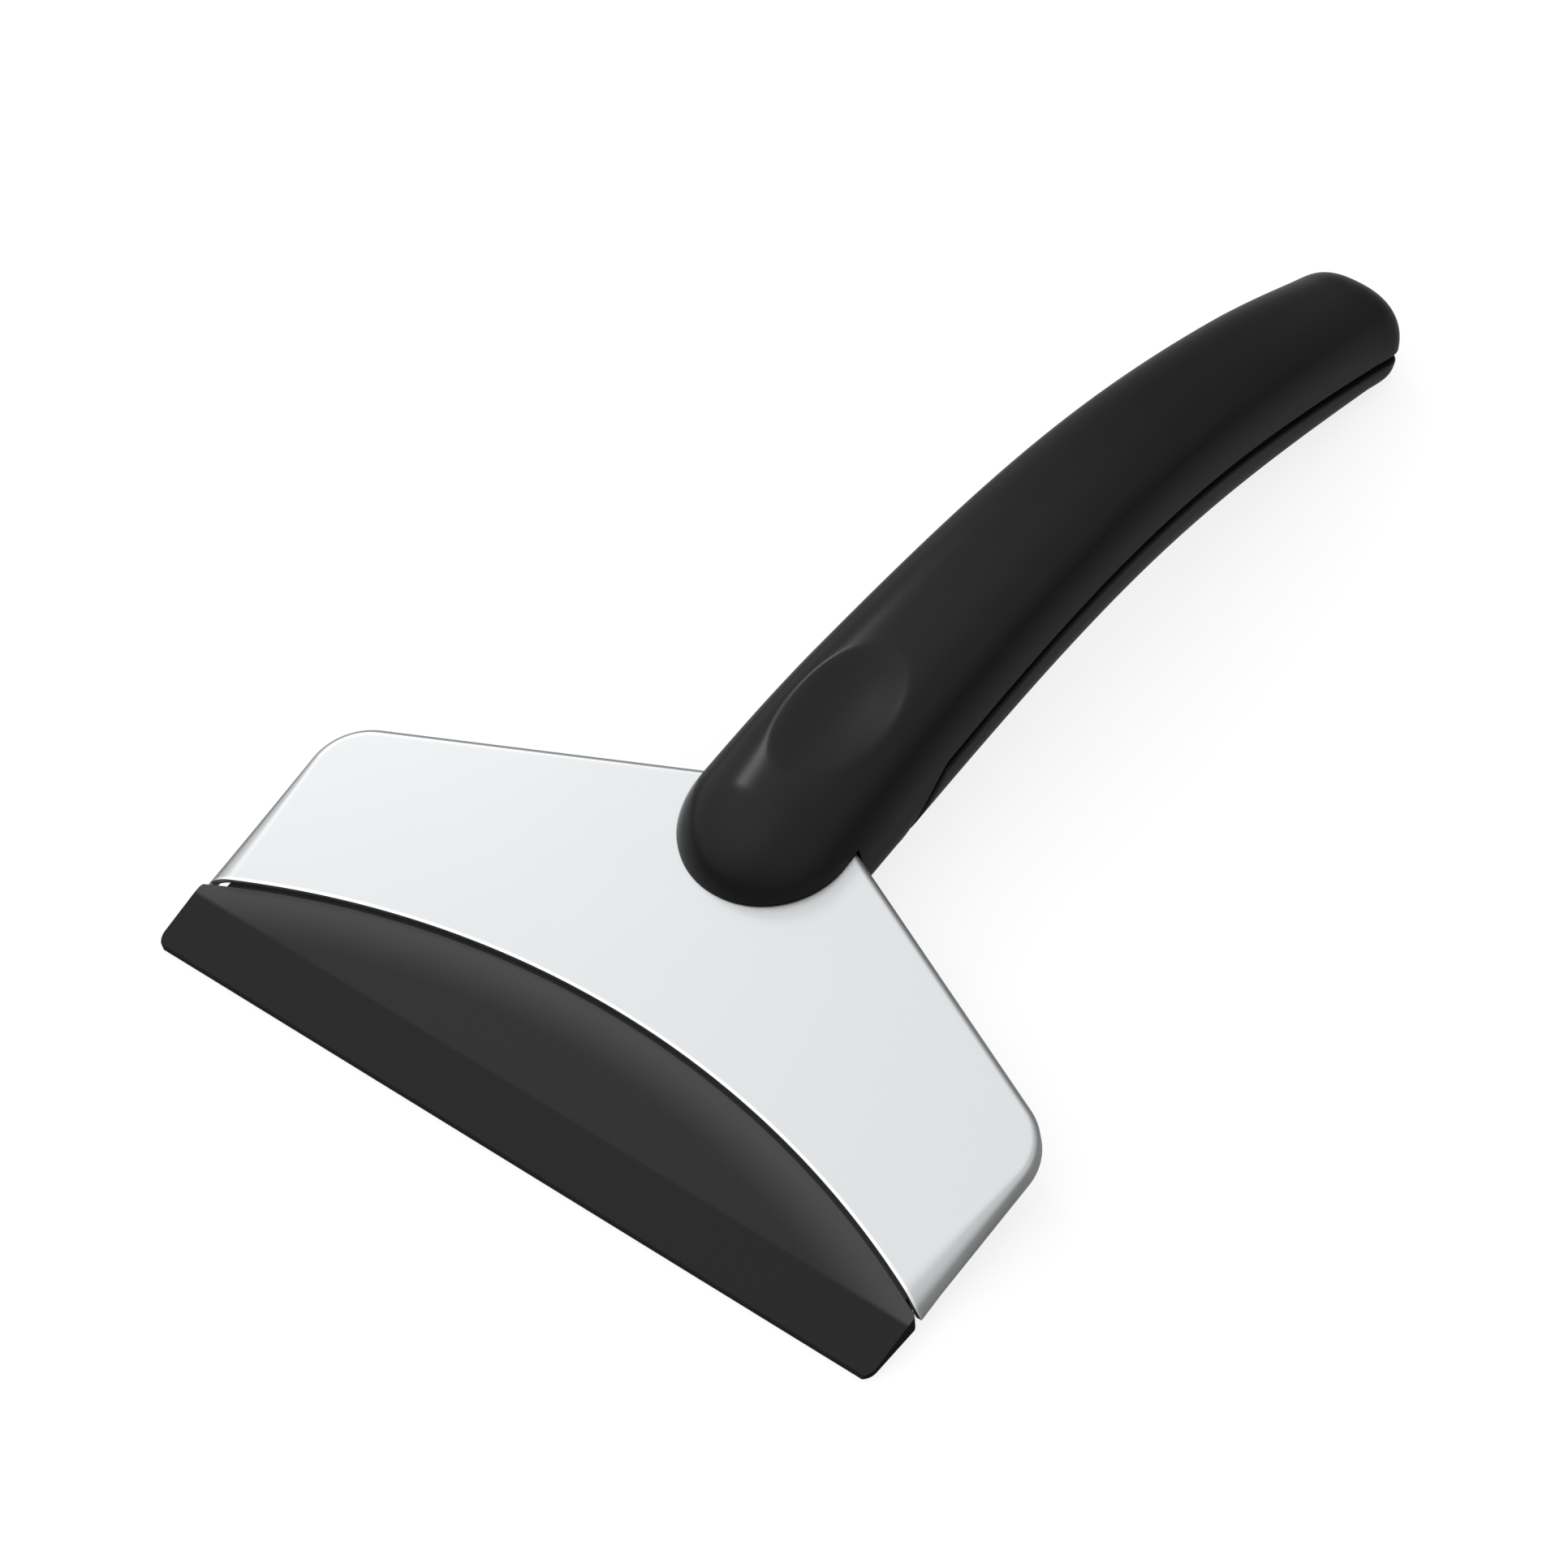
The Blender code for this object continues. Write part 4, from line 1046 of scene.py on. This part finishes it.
def brushed_stainless_steel():
    """Rolled stainless sheet, belt-brushed across the head and then softened to a satin.

    The eye gets a bright, even, cool grey with soft reflections. Real brush lines are about
    0.02 mm wide, too fine to show, so they are drawn 0.15 mm wide and 10 mm long, and faint.
    """
    material, tree, shader, here = finish_of("brushed_stainless_steel_sheet", "#CBCDCE", 0.30)
    along_head = add_node(tree, "ShaderNodeMapping", {
        "Vector": here, "Location": HEAD_PLACE.translation,
        "Rotation": (HEAD_TILT, 0, 0),
        "Scale": (BRUSH_LINE_LENGTH, BRUSH_LINE_WIDTH, BRUSH_LINE_WIDTH)}, vector_type="TEXTURE")
    lines = add_node(tree, "ShaderNodeTexNoise", {
        "Vector": along_head, "Scale": 1.0, "Detail": 2.0})
    # Handling leaves cloudy patches some 15 mm wide that are a touch duller
    clouds = add_node(tree, "ShaderNodeTexNoise", {
        "Vector": here, "Scale": 65.0, "Detail": 1.0})
    both = add_node(tree, "ShaderNodeMath", {
        0: clouds, 1: 0.6, 2: lines}, operation="MULTIPLY_ADD")
    rough = add_node(tree, "ShaderNodeMapRange", {
        "Value": both, "From Min": 0.4, "From Max": 1.2, "To Min": 0.27, "To Max": 0.33})
    scratch = add_node(tree, "ShaderNodeBump", {
        "Height": lines, "Strength": 0.03, "Distance": 0.00002})
    # Painted highlight: the edge along the arc is drawn brighter than the brushed face, as where
    # its rounding catches the light
    _, reach = head_plan(tree, here)
    inside = add_node(tree, "ShaderNodeMapRange", {
        "Value": reach, "From Min": ARC_RADIUS + CUT_EDGE_ROUNDING,
        "From Max": ARC_RADIUS + 2 * CUT_EDGE_ROUNDING})
    tone_with_painted_highlight = add_node(tree, "ShaderNodeMix", {
        "Factor": inside, 6: colour("#F1F2F3"), 7: colour("#CBCDCE")}, data_type="RGBA")
    feed(tree, shader, {
        "Metallic": 1.0, "Roughness": rough, "Normal": scratch, "Base Color": tone_with_painted_highlight.outputs[2]})
    return material


def moulded_blade_nylon():
    """Glass-filled nylon from a spark-eroded mould: matte, charcoal black, a little grainy.

    The grain is 0.1 mm on the real surface and is drawn 0.4 mm wide, so that it shows. The
    bevel down to the edge is painted blacker as painted shade, the ends are painted darker as
    painted shade and made duller, and the face is painted greyer under the arc as a painted
    sheen, a lighter band where the light falls on it.
    """
    material, tree, shader, here = finish_of("moulded_black_glass_filled_nylon", "#222223", 0.48)
    plan, reach = head_plan(tree, here)
    parts = add_node(tree, "ShaderNodeSeparateXYZ", {"Vector": plan})
    # Painted sheen: the face is drawn lighter in a band under the arc
    painted_sheen_near_arc = add_node(tree, "ShaderNodeMapRange", {
        "Value": reach, "From Min": ARC_RADIUS - PAINTED_SHEEN_BAND, "From Max": ARC_RADIUS},
        interpolation_type="SMOOTHSTEP")
    face = add_node(tree, "ShaderNodeMix", {
        "Factor": painted_sheen_near_arc, 6: colour("#1F1F20"), 7: colour("#434345")}, data_type="RGBA")
    # Painted shade: the bevel below the crease is drawn blacker than the face
    above = add_node(tree, "ShaderNodeMapRange", {
        "Value": parts.outputs["Y"], "From Min": CREASE_REACH - ARC_CENTRE - CREASE_BLUR_BELOW,
        "From Max": CREASE_REACH - ARC_CENTRE + CREASE_BLUR_ABOVE})
    whole = add_node(tree, "ShaderNodeMix", {
        "Factor": above, 6: colour("#0F0F10"), 7: face.outputs[2]}, data_type="RGBA")
    # Painted shade: faces that turn to the ends are drawn darker, and are also made duller
    normal = add_node(tree, "ShaderNodeSeparateXYZ", {"Vector": here.node.outputs["Normal"]})
    sideways = add_node(tree, "ShaderNodeMath", {0: normal}, operation="ABSOLUTE")
    at_end = add_node(tree, "ShaderNodeMapRange", {
        "Value": sideways, "From Min": 0.45, "From Max": 0.75})
    with_painted_end_shade = add_node(tree, "ShaderNodeMix", {
        "Factor": at_end, 6: whole.outputs[2], 7: colour("#060607")}, data_type="RGBA")
    grain = add_node(tree, "ShaderNodeTexNoise", {
        "Vector": here, "Scale": 1 / NYLON_GRAIN, "Detail": 2.0})
    bump = add_node(tree, "ShaderNodeBump", {
        "Height": grain, "Strength": 0.2, "Distance": 0.00002})
    rough = add_node(tree, "ShaderNodeMapRange", {
        "Value": grain, "To Min": 0.42, "To Max": 0.54})
    dull = add_node(tree, "ShaderNodeMix", {"Factor": at_end, 2: rough, 3: 0.95})
    feed(tree, shader, {
        "Specular IOR Level": 0.22, "Roughness": dull, "Normal": bump,
        "Base Color": with_painted_end_shade.outputs[2]})
    return material


def moulded_handle_abs():
    """ABS from a fine-blasted mould: deep black with a satin sheen that a hand has evened.

    The blast grain is 0.05 mm and is drawn 0.25 mm wide, very shallow. Slow changes of sheen
    some 12 mm wide come from handling, and the thumb recess is blasted duller for its grip.
    """
    material, tree, shader, here = finish_of("moulded_black_satin_abs", "#0D0D0E", 0.23)
    grain = add_node(tree, "ShaderNodeTexNoise", {
        "Vector": here, "Scale": 1 / ABS_GRAIN, "Detail": 2.0})
    bump = add_node(tree, "ShaderNodeBump", {
        "Height": grain, "Strength": 0.2, "Distance": 0.000003})
    sheen = add_node(tree, "ShaderNodeTexNoise", {
        "Vector": here, "Scale": 1 / ABS_HANDLING, "Detail": 1.0})
    rough = add_node(tree, "ShaderNodeMapRange", {
        "Value": sheen, "From Min": 0.3, "From Max": 0.7, "To Min": 0.21, "To Max": 0.25})
    _, direction = SPINE.at(RECESS_RUN)
    floor_height = CROWN_HEIGHTS[0] - RECESS_DEPTH
    recess = add_node(tree, "ShaderNodeMapping", {
        "Vector": here,
        "Location": spine_place(RECESS_RUN) @ Vector((0, 0, floor_height)),
        "Rotation": (math.atan2(direction[1], direction[0]), 0, 0),
        "Scale": (RECESS_HALF_WIDTH, RECESS_HALF_LENGTH, 4 * RECESS_DEPTH)}, vector_type="TEXTURE")
    from_middle = add_node(tree, "ShaderNodeVectorMath", {0: recess}, operation="LENGTH")
    outside = add_node(tree, "ShaderNodeMapRange", {
        "Value": from_middle.outputs["Value"], "From Min": 0.80, "From Max": 1.02})
    both = add_node(tree, "ShaderNodeMix", {"Factor": outside, 2: 0.42, 3: rough})
    # Painted shade: the groove between the shells is drawn darker, and is also made duller
    groove_shade_mask = add_node(tree, "ShaderNodeAttribute", attribute_name="groove_shade_mask").outputs["Fac"]
    dull = add_node(tree, "ShaderNodeMix", {"Factor": groove_shade_mask, 2: both, 3: 0.9})
    painted_groove_shade = add_node(tree, "ShaderNodeMix", {
        "Factor": groove_shade_mask, 6: colour("#0D0D0E"), 7: colour("#020202")}, data_type="RGBA")
    feed(tree, shader, {
        "Specular IOR Level": 0.22, "Roughness": dull, "Normal": bump,
        "Base Color": painted_groove_shade.outputs[2]})
    return material


def moulded_plate_polypropylene():
    """Polypropylene from a plain milled mould: waxy, dull black, with faint flow marks.

    The flow marks lie across the head, some 3 mm apart, as on the real moulding.
    """
    material, tree, shader, here = finish_of("moulded_black_polypropylene", "#1E1E1F", 0.58)
    flow = add_node(tree, "ShaderNodeMapping", {
        "Vector": here, "Scale": (60, 330, 330)})
    marks = add_node(tree, "ShaderNodeTexNoise", {
        "Vector": flow, "Scale": 1.0, "Detail": 2.0})
    rough = add_node(tree, "ShaderNodeMapRange", {
        "Value": marks, "To Min": 0.50, "To Max": 0.66})
    tint = add_node(tree, "ShaderNodeMix", {
        "Factor": marks, 6: colour("#1A1A1B"), 7: colour("#252526")}, data_type="RGBA")
    bump = add_node(tree, "ShaderNodeBump", {
        "Height": marks, "Strength": 0.15, "Distance": 0.00005})
    feed(tree, shader, {
        "Specular IOR Level": 0.30, "Roughness": rough, "Normal": bump,
        "Base Color": tint.outputs[2]})
    return material


def zinc_plated_steel():
    """Bright zinc on cold-headed steel, with a thin passivate: silver with blue and straw tints.

    The tints change over about 1.5 mm and the plating's own grain is drawn 0.2 mm wide.
    """
    material, tree, shader, here = finish_of("blue_passivated_zinc_plated_steel", "#BCC1C7", 0.30)
    film = add_node(tree, "ShaderNodeTexNoise", {
        "Vector": here, "Scale": 650.0, "Detail": 1.0})
    tint = add_node(tree, "ShaderNodeMix", {
        "Factor": film, 6: colour("#AEBACB"), 7: colour("#CCC8B6")}, data_type="RGBA")
    grain = add_node(tree, "ShaderNodeTexNoise", {
        "Vector": here, "Scale": 1 / ZINC_GRAIN, "Detail": 2.0})
    rough = add_node(tree, "ShaderNodeMapRange", {
        "Value": grain, "To Min": 0.22, "To Max": 0.42})
    feed(tree, shader, {"Metallic": 1.0, "Roughness": rough, "Base Color": tint.outputs[2]})
    return material


# ---- studio


def make_camera():
    data = bpy.data.cameras.new("camera")
    data.sensor_width = SENSOR_WIDTH
    data.lens = CAMERA_LENS
    data.clip_end = CLIP_END
    camera = add_object("camera", data)
    camera.location = CAMERA_PLACE
    camera.rotation_euler = CAMERA_TURN
    bpy.context.scene.camera = camera


def make_floor():
    """Pale floor that the camera sees as white, with the object's own shadow on it."""
    shape = bmesh.new()
    shape.faces.new([
        shape.verts.new((x * FLOOR_REACH, y * FLOOR_REACH, FLOOR_HEIGHT))
        for x, y in ((-1, -1), (1, -1), (1, 1), (-1, 1))
    ])
    floor = add_object("floor", plain_mesh("floor", shape))
    material, tree = new_material("white_paper_sweep")
    tree.nodes.clear()
    paper = add_node(tree, "ShaderNodeBsdfDiffuse", {
        "Color": (PAPER_TONE, PAPER_TONE, PAPER_TONE, 1)})
    path = add_node(tree, "ShaderNodeLightPath").outputs
    reflected = add_node(tree, "ShaderNodeMath", {
        0: path["Is Glossy Ray"], 1: path["Is Transmission Ray"]}, operation="ADD")
    faint = add_node(tree, "ShaderNodeMath", {
        0: reflected, 1: PAPER_GLOW_IN_MIRRORS}, operation="MULTIPLY")
    white = add_node(tree, "ShaderNodeMath", {
        0: path["Is Camera Ray"], 1: PAPER_GLOW, 2: faint}, operation="MULTIPLY_ADD")
    glow = add_node(tree, "ShaderNodeEmission", {"Strength": white})
    both = add_node(tree, "ShaderNodeAddShader", {0: paper, 1: glow})
    add_node(tree, "ShaderNodeOutputMaterial", {"Surface": both})
    floor.data.materials.append(material)


def make_key_lamp():
    """Square soft lamp that points at the object."""
    data = bpy.data.lights.new("key_lamp", "AREA")
    data.size = KEY_LAMP_SIZE
    data.energy = KEY_LAMP_POWER
    lamp = add_object("key_lamp", data)
    lamp.location = KEY_LAMP_PLACE
    lamp.rotation_euler = (-Vector(KEY_LAMP_PLACE)).to_track_quat("-Z", "Y").to_euler()


def make_world():
    """A dim studio dome with two wide soft glows, one overhead and one on the left in front."""
    world = bpy.data.worlds.new("studio")
    bpy.context.scene.world = world
    world.use_nodes = True
    tree = world.node_tree
    place = add_node(tree, "ShaderNodeTexCoord")
    glows = []
    for (direction, start, gain), base in zip(SKY_GLOWS, (DIM_LEVEL, 0)):
        towards = add_node(tree, "ShaderNodeVectorMath", {
            0: place.outputs["Generated"], 1: Vector(direction).normalized()},
            operation="DOT_PRODUCT")
        glows.append(add_node(tree, "ShaderNodeMapRange", {
            "Value": towards.outputs["Value"], "From Min": start, "From Max": 1.0,
            "To Min": base, "To Max": base + gain}, interpolation_type="SMOOTHSTEP"))
    level = add_node(tree, "ShaderNodeMath", {0: glows[0], 1: glows[1]}, operation="ADD")
    feed(tree, tree.nodes["Background"], {"Color": (1, 1, 1, 1), "Strength": level})


# ---- pieces


def finish_piece(piece, material, node):
    """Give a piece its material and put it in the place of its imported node."""
    piece.data.materials.clear()
    piece.data.materials.append(material)
    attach(piece, "root")
    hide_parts(node)


make_camera()
make_floor()
make_world()
make_key_lamp()

SCREW_PLATING = zinc_plated_steel()
handle_plastic = moulded_handle_abs()
plate_plastic = moulded_plate_polypropylene()

finish_piece(make_steel_cover(), brushed_stainless_steel(), "steel_cover")
finish_piece(make_blade(), moulded_blade_nylon(), "scraper_blade")
finish_piece(make_backing_plate(), plate_plastic, "backing_plate")
finish_piece(make_upper_shell(), handle_plastic, "handle_upper_shell")
finish_piece(make_lower_shell(), handle_plastic, "handle_lower_shell")
for node, screw in make_screws().items():
    finish_piece(screw, SCREW_PLATING, node)

bpy.context.scene.view_settings.view_transform = "Standard"
